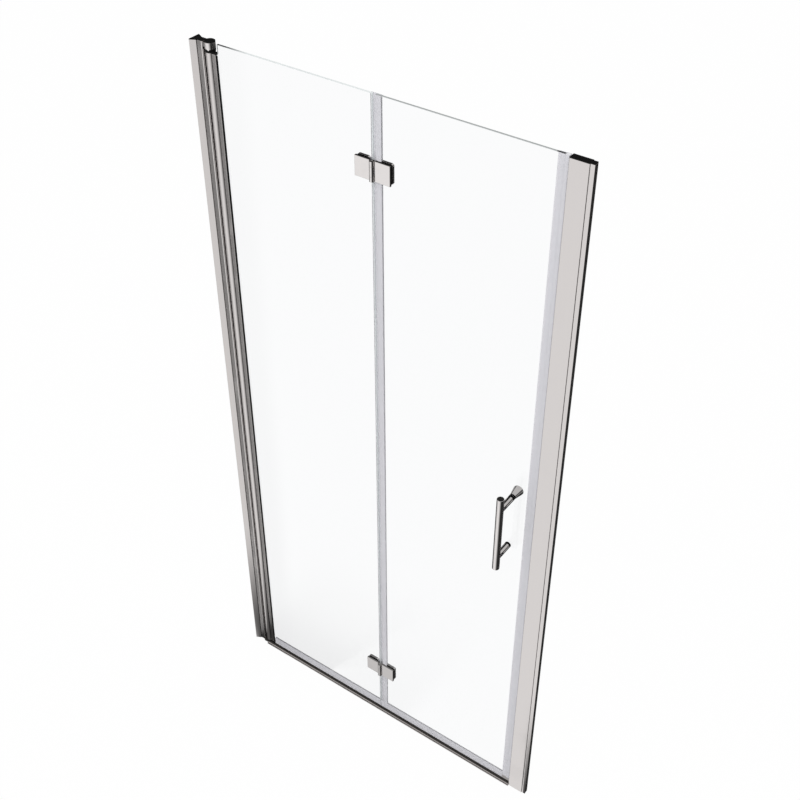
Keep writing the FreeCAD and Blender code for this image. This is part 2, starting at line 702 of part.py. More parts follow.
def pivot_tube():
    """Round tube that turns on the pivots, with a pocket that grips the glass."""
    low = (PIVOT_X, PIVOT_Y, TUBE_BOTTOM)
    high = (PIVOT_X, PIVOT_Y, TUBE_TOP)
    ring = rod(TUBE_RADIUS, low, high).cut(rod(TUBE_RADIUS - TUBE_WALL, low, high))
    walls = [
        block(POCKET_BACK_X, POCKET_X, -LIP_OUTER, LIP_OUTER, TUBE_BOTTOM, TUBE_TOP),
        block(POCKET_BACK_X, LIP_END_X, -LIP_OUTER, -LIP_INNER, TUBE_BOTTOM, TUBE_TOP),
        block(POCKET_BACK_X, REAR_LIP_END_X, LIP_INNER, LIP_OUTER, TUBE_BOTTOM, TUBE_TOP),
    ]
    pocket = block(POCKET_X, LIP_END_X, -LIP_INNER, LIP_INNER, TUBE_BOTTOM, TUBE_TOP)
    return join(ring, *walls).cut(pocket)


def tube_end_cap(flange_start, inward):
    """Black end cap of the tube with the bearing of a pivot pin; inward is the way into the tube."""
    flange_end = flange_start + inward * END_CAP_FLANGE
    plug_end = flange_end + inward * END_CAP_PLUG
    z0, z1 = sorted((flange_start, flange_end))
    disc = rod(TUBE_RADIUS, (PIVOT_X, PIVOT_Y, z0), (PIVOT_X, PIVOT_Y, z1))
    tail = block(PIVOT_X, END_CAP_END_X, -LIP_OUTER, GLASS_FACE, z0, z1)
    plug_radius = TUBE_RADIUS - TUBE_WALL - SOFT_FIT
    plug = rod(plug_radius, (PIVOT_X, PIVOT_Y, flange_end), (PIVOT_X, PIVOT_Y, plug_end))
    pocket_half = LIP_OUTER + SOFT_FIT
    plug_ends = sorted((flange_end, plug_end))
    plug = plug.cut(
        block(POCKET_BACK_X - SOFT_FIT, LIP_END_X, -pocket_half, pocket_half, *plug_ends)
    )
    bore = rod(
        PIVOT_PIN_RADIUS + RUNNING_FIT,
        (PIVOT_X, PIVOT_Y, flange_start),
        (PIVOT_X, PIVOT_Y, plug_end),
    )
    return join(disc, tail, plug).cut(bore)


def glass_gasket():
    """Black gasket round the glass edge in the tube's pocket, with a bead past each lip."""
    base_left = POCKET_X + SOFT_FIT
    base_right = PIVOT_GLASS_LEFT - SOFT_FIT
    pieces = [block(base_left, base_right, -LIP_INNER, LIP_INNER, GLASS_BOTTOM, NOTCH_BOTTOM)]
    front = (-1, LIP_END_X, GASKET_END_X)
    rear = (1, REAR_LIP_END_X, REAR_GASKET_END_X)
    for side, lip_end, end in (front, rear):
        near, far = sorted((side * GLASS_FACE, side * LIP_INNER))
        pieces.append(block(base_left, end, near, far, GLASS_BOTTOM, NOTCH_BOTTOM))
        near, far = sorted((side * GLASS_FACE, side * (LIP_INNER + GASKET_BULGE)))
        pieces.append(block(lip_end + SOFT_FIT, end, near, far, GLASS_BOTTOM, NOTCH_BOTTOM))
    return join(*pieces)


def glass_pane(left, right):
    """A plain pane of glass from the glass bottom to the top of the door."""
    return block(left, right, -GLASS_FACE, GLASS_FACE, GLASS_BOTTOM, DOOR_HEIGHT)


def polished(pane):
    """A pane with the long edges of both faces bevelled."""
    edges = []
    for side in (-1, 1):
        edges += [
            edge
            for edge in edges_on_plane(pane, AXIS_Y, side * GLASS_FACE)
            if isinstance(edge.Curve, Part.Line)
        ]
    return pane.makeChamfer(GLASS_ARRIS, edges)


def hinge_holes(side):
    """The holes in a pane for the screws of both hinges."""
    holes = []
    for centre_z in HINGE_HEIGHTS.values():
        for x, z in hinge_screw_places(side, centre_z):
            holes.append(rod(GLASS_HOLE_RADIUS, (x, -GLASS_FACE, z), (x, GLASS_FACE, z)))
    return holes


def pivot_glass():
    """First pane, notched at its top corner beside the pivot head."""
    pane = glass_pane(PIVOT_GLASS_LEFT, PIVOT_GLASS_RIGHT)
    notch = block(
        PIVOT_GLASS_LEFT,
        NOTCH_RIGHT,
        -GLASS_FACE,
        GLASS_FACE,
        NOTCH_BOTTOM,
        DOOR_HEIGHT,
    )
    inner_edge = [
        edge
        for edge in edges_along(notch, AXIS_Y)
        if edge.Vertexes[0].Point.x > NOTCH_RIGHT - SEAT_FIT
        and edge.Vertexes[0].Point.z < NOTCH_BOTTOM + SEAT_FIT
    ]
    notch = notch.makeFillet(NOTCH_RADIUS, inner_edge)
    return polished(pane.cut(notch)).cut(hinge_holes(PIVOT_SIDE))


def folding_glass():
    """Second pane, drilled for the hinges and the handle."""
    pane = polished(glass_pane(FOLDING_GLASS_LEFT, FOLDING_GLASS_RIGHT))
    handle_hole = rod(
        GLASS_HOLE_RADIUS,
        (HANDLE_X, -GLASS_FACE, UPPER_POST_Z),
        (HANDLE_X, GLASS_FACE, UPPER_POST_Z),
    )
    return pane.cut(hinge_holes(FOLD_SIDE) + [handle_hole])


def bottom_seal(left, right):
    """Seal on the lower edge of a pane: two legs, a long front lip and a drip fin."""
    base_top = GLASS_BOTTOM - SOFT_FIT
    low = GLASS_BOTTOM - BOTTOM_SEAL_DROP
    fin_left = BOTTOM_SEAL_FIN_Y
    fin_right = BOTTOM_SEAL_FIN_Y + SEAL_WALL
    fin_low = SEAL_BASE_BOTTOM - BOTTOM_SEAL_FIN_DROP
    outline = [
        (-SEAL_OUTER, low),
        (-SEAL_INNER, low),
        (-SEAL_INNER, SEAL_BASE_BOTTOM),
        (fin_left, SEAL_BASE_BOTTOM),
        (fin_left, fin_low),
        (fin_right, fin_low),
        (fin_right, SEAL_BASE_BOTTOM),
        (SEAL_OUTER, SEAL_BASE_BOTTOM),
        (SEAL_OUTER, SEAL_TOP),
        (SEAL_INNER, SEAL_TOP),
        (SEAL_INNER, base_top),
        (-SEAL_INNER, base_top),
        (-SEAL_INNER, SEAL_TOP),
        (-SEAL_OUTER, SEAL_TOP),
    ]
    return lengthwise(outline, left, right)


def fold_seal():
    """Seal on the second pane at the fold, in lengths between the hinges, with a fin behind pane one."""
    half = PLATE_HEIGHT / 2 + SEAL_ROW_GAP
    lower_z = HINGE_HEIGHTS["lower"]
    upper_z = HINGE_HEIGHTS["upper"]
    spans = [
        (FOLD_SEAL_BOTTOM, lower_z - half),
        (lower_z + half, upper_z - half),
        (upper_z + half, DOOR_HEIGHT),
    ]
    inner_x = FOLDING_GLASS_LEFT - SOFT_FIT
    outer_x = inner_x - SEAL_WALL
    grip_x = FOLDING_GLASS_LEFT + FOLD_SEAL_GRIP
    fin_x = PIVOT_GLASS_RIGHT - FOLD_SEAL_OVERLAP
    fin_y = GLASS_FACE + FOLD_SEAL_REAR_GAP
    outline = [
        (grip_x, -SEAL_OUTER),
        (grip_x, -SEAL_INNER),
        (inner_x, -SEAL_INNER),
        (inner_x, SEAL_INNER),
        (grip_x, SEAL_INNER),
        (grip_x, SEAL_OUTER),
        (fin_x, SEAL_OUTER),
        (fin_x, fin_y),
        (outer_x, fin_y),
        (outer_x, -SEAL_OUTER),
    ]
    return group([upright(outline, z0, z1) for z0, z1 in spans])


def magnet_seal():
    """Seal on the closing edge of the second pane, with a hollow for its magnet."""
    legs_left = FOLDING_GLASS_RIGHT - MAGNET_SEAL_GRIP
    housing_half = MAGNET_HOUSING_DEPTH / 2
    housing = block(
        MAGNET_HOUSING_LEFT,
        MAGNET_SEAL_RIGHT,
        -housing_half,
        housing_half,
        GLASS_BOTTOM,
        DOOR_HEIGHT,
    )
    hollow = block(
        MAGNET_HOUSING_LEFT + SEAL_WALL,
        MAGNET_SEAL_RIGHT - SEAL_WALL,
        -housing_half + SEAL_WALL,
        housing_half - SEAL_WALL,
        GLASS_BOTTOM,
        DOOR_HEIGHT,
    )
    legs = []
    for side in (-1, 1):
        near, far = sorted((side * SEAL_INNER, side * SEAL_OUTER))
        legs.append(block(legs_left, MAGNET_HOUSING_LEFT + SEAL_WALL, near, far, GLASS_BOTTOM, DOOR_HEIGHT))
    return join(housing, *legs).cut(hollow)


def leaf_magnet():
    """Magnet strip in the closing seal."""
    inset = SEAL_WALL + MAGNET_FIT
    half = MAGNET_HOUSING_DEPTH / 2 - inset
    left = MAGNET_HOUSING_LEFT + inset
    right = MAGNET_SEAL_RIGHT - inset
    return block(left, right, -half, half, GLASS_BOTTOM, DOOR_HEIGHT)


def hinge_span(side, width):
    """The X range of a hinge plate or clamp on one side of the fold, from its outer edge inwards."""
    outer = HINGE_AXIS_X + side * (PLATE_GAP / 2 + PLATE_WIDTH)
    return sorted((outer, outer - side * width))


def hinge_screw_places(side, centre_z):
    """The two screws of one half of a hinge, in the middle of its clamp."""
    x = sum(hinge_span(side, CLAMP_WIDTH)) / 2
    return [(x, centre_z + end * HINGE_SCREW_SPACING / 2) for end in (-1, 1)]


def knuckle_spans(side, centre_z):
    """The heights of the knuckles of one half: the middle one, or the two ends."""
    low = centre_z - PLATE_HEIGHT / 2
    high = centre_z + PLATE_HEIGHT / 2
    if side == PIVOT_SIDE:
        return [(low + KNUCKLE_END + KNUCKLE_FIT, high - KNUCKLE_END - KNUCKLE_FIT)]
    return [(low, low + KNUCKLE_END), (high - KNUCKLE_END, high)]


def hinge_plate(side, centre_z):
    """Front plate of one half of a hinge, with its knuckles and blind screw holes."""
    x0, x1 = hinge_span(side, PLATE_WIDTH)
    low = centre_z - PLATE_HEIGHT / 2
    high = centre_z + PLATE_HEIGHT / 2
    plate = block(x0, x1, -PLATE_FRONT, -PAD_FRONT, low, high)
    plate = plate.makeChamfer(PLATE_EDGE, edges_on_plane(plate, AXIS_Y, -PLATE_FRONT))
    inner_x = HINGE_AXIS_X + side * PLATE_GAP / 2
    pieces = [plate]
    for z0, z1 in knuckle_spans(side, centre_z):
        web_x = sorted((HINGE_AXIS_X, inner_x + side * PLATE_EDGE * 2))
        web_y = -PLATE_FRONT + PLATE_EDGE
        pieces.append(block(*web_x, web_y, web_y + KNUCKLE_WEB, z0, z1))
        pieces.append(rod(BARREL_RADIUS, (HINGE_AXIS_X, HINGE_AXIS_Y, z0), (HINGE_AXIS_X, HINGE_AXIS_Y, z1)))
    bore_radius = HINGE_PIN_RADIUS + SEAT_FIT
    if side == PIVOT_SIDE:
        bore_radius = HINGE_PIN_RADIUS + RUNNING_FIT + HINGE_BUSH_WALL + SEAT_FIT
    bore = rod(bore_radius, (HINGE_AXIS_X, HINGE_AXIS_Y, low), (HINGE_AXIS_X, HINGE_AXIS_Y, high))
    holes = [
        rod(HINGE_SCREW_RADIUS + SEAT_FIT, (x, -PAD_FRONT - HINGE_SCREW_HOLD, z), (x, -PAD_FRONT, z))
        for x, z in hinge_screw_places(side, centre_z)
    ]
    return join(*pieces).cut([bore] + holes)


def hinge_clamp(side, centre_z):
    """Rear clamp of one half of a hinge, with counterbores for its screws."""
    x0, x1 = hinge_span(side, CLAMP_WIDTH)
    low = centre_z - PLATE_HEIGHT / 2
    high = centre_z + PLATE_HEIGHT / 2
    clamp = block(x0, x1, PAD_FRONT, CLAMP_BACK, low, high)
    clamp = clamp.makeFillet(CLAMP_CORNER, edges_along(clamp, AXIS_Y))
    clamp = clamp.makeChamfer(PLATE_EDGE, edges_on_plane(clamp, AXIS_Y, CLAMP_BACK))
    cuts = []
    for x, z in hinge_screw_places(side, centre_z):
        seat_y = CLAMP_BACK - HINGE_SCREW_HEAD
        cuts.append(rod(HINGE_SCREW_RADIUS + HINGE_SCREW_CLEARANCE, (x, PAD_FRONT, z), (x, CLAMP_BACK, z)))
        cuts.append(rod(HINGE_SCREW_HEAD_RADIUS + HINGE_SCREW_CLEARANCE, (x, seat_y, z), (x, CLAMP_BACK, z)))
    return clamp.cut(cuts)


def hinge_pads(side, centre_z):
    """The pads of one half of a hinge: one under the plate and one under the clamp."""
    half = PLATE_HEIGHT / 2 - PAD_MARGIN
    pads = []
    for width, near, far in (
        (PLATE_WIDTH, -PAD_FRONT, -GLASS_FACE),
        (CLAMP_WIDTH, GLASS_FACE, PAD_FRONT),
    ):
        x0, x1 = hinge_span(side, width)
        pad = block(x0 + PAD_MARGIN, x1 - PAD_MARGIN, near, far, centre_z - half, centre_z + half)
        if width == CLAMP_WIDTH:
            pad = pad.makeFillet(CLAMP_CORNER, edges_along(pad, AXIS_Y))
        holes = [
            rod(HINGE_SCREW_RADIUS + HINGE_SCREW_CLEARANCE, (x, near, z), (x, far, z))
            for x, z in hinge_screw_places(side, centre_z)
        ]
        pads.append(pad.cut(holes))
    return group(pads)


def hinge_screws(side, centre_z):
    """Socket screws from the clamp through the glass into the plate."""
    screws = []
    seat_y = CLAMP_BACK - HINGE_SCREW_HEAD
    for x, z in hinge_screw_places(side, centre_z):
        shank = rod(HINGE_SCREW_RADIUS, (x, -PAD_FRONT - HINGE_SCREW_HOLD, z), (x, seat_y, z))
        head = rod(HINGE_SCREW_HEAD_RADIUS, (x, seat_y, z), (x, CLAMP_BACK, z))
        turn = 2 * math.pi / SOCKET_SIDES
        points = [
            FreeCAD.Vector(
                x + SOCKET_RADIUS * math.cos(i * turn),
                CLAMP_BACK - SOCKET_DEPTH,
                z + SOCKET_RADIUS * math.sin(i * turn),
            )
            for i in range(SOCKET_SIDES)
        ]
        socket = Part.Face(Part.makePolygon(points + points[:1])).extrude(AXIS_Y * SOCKET_DEPTH)
        screws.append(join(shank, head).cut(socket))
    return group(screws)


def hinge_pin(centre_z):
    """Pin of a hinge, held in the two end knuckles."""
    half = PLATE_HEIGHT / 2 - HINGE_PIN_RECESS
    low = (HINGE_AXIS_X, HINGE_AXIS_Y, centre_z - half)
    high = (HINGE_AXIS_X, HINGE_AXIS_Y, centre_z + half)
    return rod(HINGE_PIN_RADIUS, low, high)


def hinge_bush(centre_z):
    """Plastic bush in the middle knuckle, on which the pin turns."""
    z0, z1 = knuckle_spans(PIVOT_SIDE, centre_z)[0]
    low = (HINGE_AXIS_X, HINGE_AXIS_Y, z0)
    high = (HINGE_AXIS_X, HINGE_AXIS_Y, z1)
    bore = HINGE_PIN_RADIUS + RUNNING_FIT
    return rod(bore + HINGE_BUSH_WALL, low, high).cut(rod(bore, low, high))


def handle_bar():
    """Upright round bar on the dry side, with threaded holes for the two studs."""
    bar = rod(BAR_RADIUS, (HANDLE_X, BAR_Y, HANDLE_BOTTOM), (HANDLE_X, BAR_Y, HANDLE_TOP))
    rims = edges_on_plane(bar, AXIS_Z, HANDLE_BOTTOM) + edges_on_plane(bar, AXIS_Z, HANDLE_TOP)
    bar = bar.makeFillet(BAR_EDGE, rims)
    start_y = BAR_Y + BAR_RADIUS - STUD_IN_BAR
    holes = [
        rod(STUD_RADIUS + SEAT_FIT, (HANDLE_X, start_y, z), (HANDLE_X, BAR_Y + BAR_RADIUS, z))
        for z in (UPPER_POST_Z, LOWER_POST_Z)
    ]
    return bar.cut(holes)


def handle_post(z, end_y, hole_end_y):
    """Round post saddled on the bar, with a hole for its stud as far as hole_end_y."""
    post = rod(HANDLE_POST_RADIUS, (HANDLE_X, BAR_Y, z), (HANDLE_X, end_y, z))
    reach = 2 * HANDLE_POST_RADIUS
    saddle = rod(BAR_RADIUS, (HANDLE_X, BAR_Y, z - reach), (HANDLE_X, BAR_Y, z + reach))
    hole = rod(STUD_RADIUS + SEAT_FIT, (HANDLE_X, BAR_Y, z), (HANDLE_X, hole_end_y, z))
    return post.cut([saddle, hole])


def handle_studs():
    """Threaded studs: the upper one runs through the glass into the knob."""
    start_y = BAR_Y + BAR_RADIUS - STUD_IN_BAR
    upper_end = WASHER_FACE + STUD_IN_KNOB
    lower_end = BAR_Y + BAR_RADIUS + STUD_IN_POST
    upper = rod(STUD_RADIUS, (HANDLE_X, start_y, UPPER_POST_Z), (HANDLE_X, upper_end, UPPER_POST_Z))
    lower = rod(STUD_RADIUS, (HANDLE_X, start_y, LOWER_POST_Z), (HANDLE_X, lower_end, LOWER_POST_Z))
    return group([upper, lower])


def handle_washers():
    """Soft washers on both sides of the glass at the upper post."""
    washers = []
    for near, far in ((-WASHER_FACE, -GLASS_FACE), (GLASS_FACE, WASHER_FACE)):
        ends = ((HANDLE_X, near, UPPER_POST_Z), (HANDLE_X, far, UPPER_POST_Z))
        washers.append(rod(HANDLE_POST_RADIUS, *ends).cut(rod(STUD_RADIUS + RUNNING_FIT, *ends)))
    return group(washers)


def handle_foot_pad():
    """Soft pad between the lower post and the glass."""
    near = (HANDLE_X, -FOOT_PAD_FACE, LOWER_POST_Z)
    far = (HANDLE_X, -GLASS_FACE, LOWER_POST_Z)
    return rod(HANDLE_POST_RADIUS, near, far)


def handle_knob():
    """Flared knob on the shower side, screwed on the upper stud."""
    start = FreeCAD.Vector(HANDLE_X, WASHER_FACE, UPPER_POST_Z)
    knob = Part.makeCone(HANDLE_POST_RADIUS, KNOB_RADIUS, KNOB_LENGTH, start, AXIS_Y)
    knob = knob.makeFillet(KNOB_EDGE, edges_on_plane(knob, AXIS_Y, WASHER_FACE + KNOB_LENGTH))
    hole_end = (HANDLE_X, WASHER_FACE + STUD_IN_KNOB, UPPER_POST_Z)
    return knob.cut(rod(STUD_RADIUS + SEAT_FIT, (HANDLE_X, WASHER_FACE, UPPER_POST_Z), hole_end))


def frame_pieces():
    """The pieces that stay on the walls and the tray."""
    return {
        "hinge_wall_channel": hinge_wall_channel(),
        "hinge_post": hinge_post(),
        "hinge_frame_cap": hinge_frame_cap(),
        "post_seal_strip": post_seal_strip(),
        "hinge_side_screws": hinge_side_screws(),
        "top_pivot_block": top_pivot_block(),
        "top_pivot_cover": top_pivot_cover(),
        "top_pivot_bush": top_pivot_bush(),
        "top_pivot_pin": top_pivot_pin(),
        "pivot_block_screws": pivot_block_screws(),
        "threshold_sill": threshold_sill(),
        "bottom_pivot_block": bottom_pivot_block(),
        "bottom_pivot_pin": bottom_pivot_pin(),
        "bottom_pivot_washer": bottom_pivot_washer(),
        "strike_wall_channel": strike_wall_channel(),
        "strike_profile": strike_profile(),
        "strike_magnet": strike_magnet(),
        "strike_frame_cap": strike_frame_cap(),
        "strike_side_screws": strike_side_screws(),
    }


def pivot_leaf_pieces():
    """The pieces that turn with the pivot tube."""
    pieces = {
        "pivot_tube": pivot_tube(),
        "tube_top_cap": tube_end_cap(TUBE_TOP + END_CAP_FLANGE, -1),
        "tube_bottom_cap": tube_end_cap(TUBE_BOTTOM - END_CAP_FLANGE, 1),
        "glass_gasket": glass_gasket(),
        "pivot_glass": pivot_glass(),
        "pivot_bottom_seal": bottom_seal(GASKET_END_X + SEAL_END_GAP, PIVOT_GLASS_RIGHT),
    }
    for name, z in HINGE_HEIGHTS.items():
        pieces[name + "_hinge_pivot_plate"] = hinge_plate(PIVOT_SIDE, z)
        pieces[name + "_hinge_pivot_clamp"] = hinge_clamp(PIVOT_SIDE, z)
        pieces[name + "_hinge_pivot_pads"] = hinge_pads(PIVOT_SIDE, z)
        pieces[name + "_hinge_pivot_screws"] = hinge_screws(PIVOT_SIDE, z)
        pieces[name + "_hinge_bush"] = hinge_bush(z)
    return pieces


def folding_leaf_pieces():
    """The pieces that fold with the second pane."""
    seal_right = FOLDING_GLASS_RIGHT - MAGNET_SEAL_GRIP - SEAL_ROW_GAP
    pieces = {
        "folding_glass": folding_glass(),
        "fold_seal": fold_seal(),
        "folding_bottom_seal": bottom_seal(PIVOT_GLASS_RIGHT + SEAL_END_GAP, seal_right),
        "magnet_seal": magnet_seal(),
        "leaf_magnet": leaf_magnet(),
        "handle_bar": handle_bar(),
        "handle_upper_post": handle_post(UPPER_POST_Z, -WASHER_FACE, -WASHER_FACE),
        "handle_lower_post": handle_post(LOWER_POST_Z, -FOOT_PAD_FACE, BAR_Y + BAR_RADIUS + STUD_IN_POST),
        "handle_studs": handle_studs(),
        "handle_washers": handle_washers(),
        "handle_foot_pad": handle_foot_pad(),
        "handle_knob": handle_knob(),
    }
    for name, z in HINGE_HEIGHTS.items():
        pieces[name + "_hinge_fold_plate"] = hinge_plate(FOLD_SIDE, z)
        pieces[name + "_hinge_fold_clamp"] = hinge_clamp(FOLD_SIDE, z)
        pieces[name + "_hinge_fold_pads"] = hinge_pads(FOLD_SIDE, z)
        pieces[name + "_hinge_fold_screws"] = hinge_screws(FOLD_SIDE, z)
        pieces[name + "_hinge_pin"] = hinge_pin(z)
    return pieces


os.makedirs("parts", exist_ok=True)
for pieces in (frame_pieces(), pivot_leaf_pieces(), folding_leaf_pieces()):
    for name, shape in pieces.items():
        shape.exportStep("parts/" + name + ".step")
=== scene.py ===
"""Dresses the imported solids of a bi-fold pivot shower door and sets it in a white studio."""

import json
import math
from collections import namedtuple

import bpy
import numpy as np
from bpy.props import FloatProperty, FloatVectorProperty, PointerProperty
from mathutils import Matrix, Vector
from mathutils.geometry import tessellate_polygon


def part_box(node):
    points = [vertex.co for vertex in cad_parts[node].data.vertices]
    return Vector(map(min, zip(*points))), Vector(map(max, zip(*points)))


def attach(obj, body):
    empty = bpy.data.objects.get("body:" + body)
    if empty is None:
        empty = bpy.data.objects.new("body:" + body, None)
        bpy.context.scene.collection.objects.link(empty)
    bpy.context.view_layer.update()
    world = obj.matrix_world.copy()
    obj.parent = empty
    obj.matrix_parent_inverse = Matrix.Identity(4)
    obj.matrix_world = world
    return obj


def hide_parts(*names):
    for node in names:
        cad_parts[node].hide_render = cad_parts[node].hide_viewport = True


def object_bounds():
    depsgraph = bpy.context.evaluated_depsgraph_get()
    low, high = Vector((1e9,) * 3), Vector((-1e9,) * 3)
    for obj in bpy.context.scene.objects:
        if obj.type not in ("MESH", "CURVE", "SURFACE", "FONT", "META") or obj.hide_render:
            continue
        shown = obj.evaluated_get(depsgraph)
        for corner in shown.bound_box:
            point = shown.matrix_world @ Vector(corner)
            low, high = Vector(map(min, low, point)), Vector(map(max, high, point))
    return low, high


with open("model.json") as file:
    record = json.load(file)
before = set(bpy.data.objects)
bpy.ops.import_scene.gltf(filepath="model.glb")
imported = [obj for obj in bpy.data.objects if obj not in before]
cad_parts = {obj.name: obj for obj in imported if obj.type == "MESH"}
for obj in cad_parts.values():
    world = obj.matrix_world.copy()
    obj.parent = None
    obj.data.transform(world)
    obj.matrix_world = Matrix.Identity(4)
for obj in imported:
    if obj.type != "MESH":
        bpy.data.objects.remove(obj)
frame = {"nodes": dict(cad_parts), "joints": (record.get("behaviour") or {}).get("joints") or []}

bl_info = {
    "name": "Bi-fold shower door",
    "version": (1, 0, 0),
    "blender": (4, 5, 0),
    "location": "3D View > Sidebar > Shower door",
    "description": "Dresses the solids of a bi-fold shower door and sets it in a white studio",
    "category": "Object",
}

MM = 0.001
CAD_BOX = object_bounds()

FRAME = "frame"
PIVOT_LEAF = "pivot_leaf"
FOLDING_LEAF = "folding_leaf"
JOINTS = {joint["name"]: Vector(joint["pos_m"]) for joint in frame["joints"]}
PIVOT = JOINTS["leaf_pivot"]
HINGES = ("upper", "lower")

# Fineness of the surfaces
ARC_STEPS = 6
END_STEPS = 4
ROUND_STEPS = 96
TUBE_STEPS = 72
CORNER_SHARE = 0.45
SMOOTH_LIMIT = math.radians(35)
WELD_DISTANCE = 0.01 * MM
FLAT_LIMIT = math.radians(0.5)
BEVEL_LIMIT = math.radians(40)
BEVEL_STEPS = 3

# Clearance of a soft piece from the glass that it touches
TOUCH = 0.05 * MM


def arcs(before, corners, after, radii):
    """Points on the arcs that round a row of corners.

    Each arc touches both edges of its corner. Its reach along an edge is radius / tan(half angle), at
    most a fixed share of the shorter edge, and its centre lies on the bisector at radius / sin(half).
    """
    back = before - corners
    ahead = after - corners
    back_length = np.linalg.norm(back, axis=1)
    ahead_length = np.linalg.norm(ahead, axis=1)
    back = back / back_length[:, None]
    ahead = ahead / ahead_length[:, None]
    half = np.arccos(np.clip((back * ahead).sum(axis=1), -1, 1)) / 2
    longest = CORNER_SHARE * np.minimum(back_length, ahead_length)
    reach = np.minimum(radii / np.tan(half), longest)
    radius = reach * np.tan(half)
    bisector = back + ahead
    bisector = bisector / np.linalg.norm(bisector, axis=1, keepdims=True)
    centre = corners + bisector * (radius / np.sin(half))[:, None]
    start = corners + back * reach[:, None] - centre
    end = corners + ahead * reach[:, None] - centre
    first = np.arctan2(start[:, 1], start[:, 0])
    last = np.arctan2(end[:, 1], end[:, 0])
    turn = (last - first + math.pi) % (2 * math.pi) - math.pi
    angle = first[:, None] + turn[:, None] * np.linspace(0, 1, ARC_STEPS)
    points = np.stack((np.cos(angle), np.sin(angle)), axis=2) * radius[:, None, None]
    return (points + centre[:, None, :]).reshape(-1, 2)


def rounded(corners, radii):
    """A closed outline with every corner rounded, turned to run anticlockwise."""
    corners = np.array(corners, dtype=float)
    radii = np.broadcast_to(np.array(radii, dtype=float), len(corners))
    outline = arcs(np.roll(corners, 1, axis=0), corners, np.roll(corners, -1, axis=0), radii)
    nexts = np.roll(outline, -1, axis=0)
    area = (outline[:, 0] * nexts[:, 1] - nexts[:, 0] * outline[:, 1]).sum()
    return outline if area > 0 else outline[::-1]


def section(corners):
    """A closed outline from corners that each hold a place and their own radius."""
    corners = np.array(corners, dtype=float)
    return rounded(corners[:, :2], corners[:, 2])


def rectangle(left, right, front, rear):
    """The corners of a rectangle, from the front left one round."""
    return [(left, front), (right, front), (right, rear), (left, rear)]


def rounded_run(corners, radii):
    """An open run of points with its inner corners rounded and its two ends kept."""
    corners = np.array(corners, dtype=float)
    radii = np.array(radii, dtype=float)
    inner = arcs(corners[:-2], corners[1:-1], corners[2:], radii)
    return np.concatenate((corners[:1], inner, corners[-1:]))


def quarter(edge, steps):
    """A quarter circle at a rim.

    With a from 0 to 90 degrees, a point lies edge * (1 - cos a) from the end of its piece and
    edge * (1 - sin a) in from its side.
    """
    turn = np.linspace(0, math.pi / 2, steps)
    return edge * (1 - np.cos(turn)), edge * (1 - np.sin(turn))


def carried(outline, start, end, edge):
    """Rings of an outline carried straight from start to end, with rounded ends.

    The rings near an end follow a quarter circle: each is the outline moved into the material, to the
    left of its run.
    """
    depth, inset = quarter(edge, END_STEPS)
    along = np.concatenate((start + depth, end - depth[::-1]))
    inset = np.concatenate((inset, inset[::-1]))
    ahead = np.roll(outline, -1, axis=0) - np.roll(outline, 1, axis=0)
    ahead = ahead / np.linalg.norm(ahead, axis=1, keepdims=True)
    inward = np.stack((-ahead[:, 1], ahead[:, 0]), axis=1)
    flat = outline + inset[:, None, None] * inward
    level = np.broadcast_to(along[:, None, None], flat.shape[:2] + (1,))
    return np.concatenate((flat, level), axis=2)


def turned(profile):
    """Rings of a profile turned round an axis: at each (along, radius) a circle of that radius."""
    profile = np.array(profile, dtype=float)
    turn = np.linspace(0, 2 * math.pi, ROUND_STEPS, endpoint=False)
    circle = np.stack((np.cos(turn), np.sin(turn)), axis=1)
    flat = profile[:, 1, None, None] * circle
    level = np.broadcast_to(profile[:, 0, None, None], flat.shape[:2] + (1,))
    return np.concatenate((flat, level), axis=2)


def rod_profile(start, end, start_radius, end_radius, edge):
    """A turned profile from start to end with a quarter circle of radius edge at both rims."""
    depth, inset = quarter(edge, ARC_STEPS)
    first = np.stack((start + depth, start_radius - inset), axis=1)
    last = np.stack((end - depth, end_radius - inset), axis=1)
    return np.concatenate((first, last[::-1]))


def placed(rings, axes, origin=(0, 0, 0)):
    """Rings moved from their own axes to the door's, such as YZX for a profile carried along X."""
    out = np.empty_like(rings)
    out[..., ["XYZ".index(letter) for letter in axes]] = rings
    return out + np.array(origin)


def point_numbers(rings):
    """Numbers for the points of some rings, counted ring by ring."""
    return np.arange(rings.shape[0] * rings.shape[1]).reshape(rings.shape[:2])


def grid_faces(rings):
    """Four-sided faces between neighbouring points of neighbouring closed rings."""
    index = point_numbers(rings)
    around = np.roll(index, -1, axis=1)
    return np.stack((index[:-1], around[:-1], around[1:], index[1:]), axis=2).reshape(-1, 4)


def bar_mesh(loops):
    """Points and faces of a bar: one grid of rings for its outline and one for each hole.

    The two end faces are triangles over the first and the last rings, holes left open.
    """
    points = np.concatenate([loop.reshape(-1, 3) for loop in loops])
    starts = np.cumsum([0] + [loop.shape[0] * loop.shape[1] for loop in loops[:-1]])
    faces = []
    for ring in (0, -1):
        flat = [loop[ring].tolist() for loop in loops]
        around = [point_numbers(loop)[ring] + start for loop, start in zip(loops, starts)]
        triangles = np.concatenate(around)[np.array(tessellate_polygon(flat))]
        faces.append(facing(triangles, points, loops[0], ring))
    faces += [grid_faces(loop) + start for loop, start in zip(loops, starts)]
    return points, [row for part in faces for row in part.tolist()]


def facing(triangles, points, loop, ring):
    """End triangles turned to face away from the bar."""
    outward = loop[0].mean(axis=0) - loop[-1].mean(axis=0)
    outward = outward if ring == 0 else -outward
    corners = points[triangles]
    normal = np.cross(corners[:, 1] - corners[:, 0], corners[:, 2] - corners[:, 0])
    wrong = normal @ outward < 0
    triangles[wrong] = triangles[wrong][:, ::-1]
    return triangles


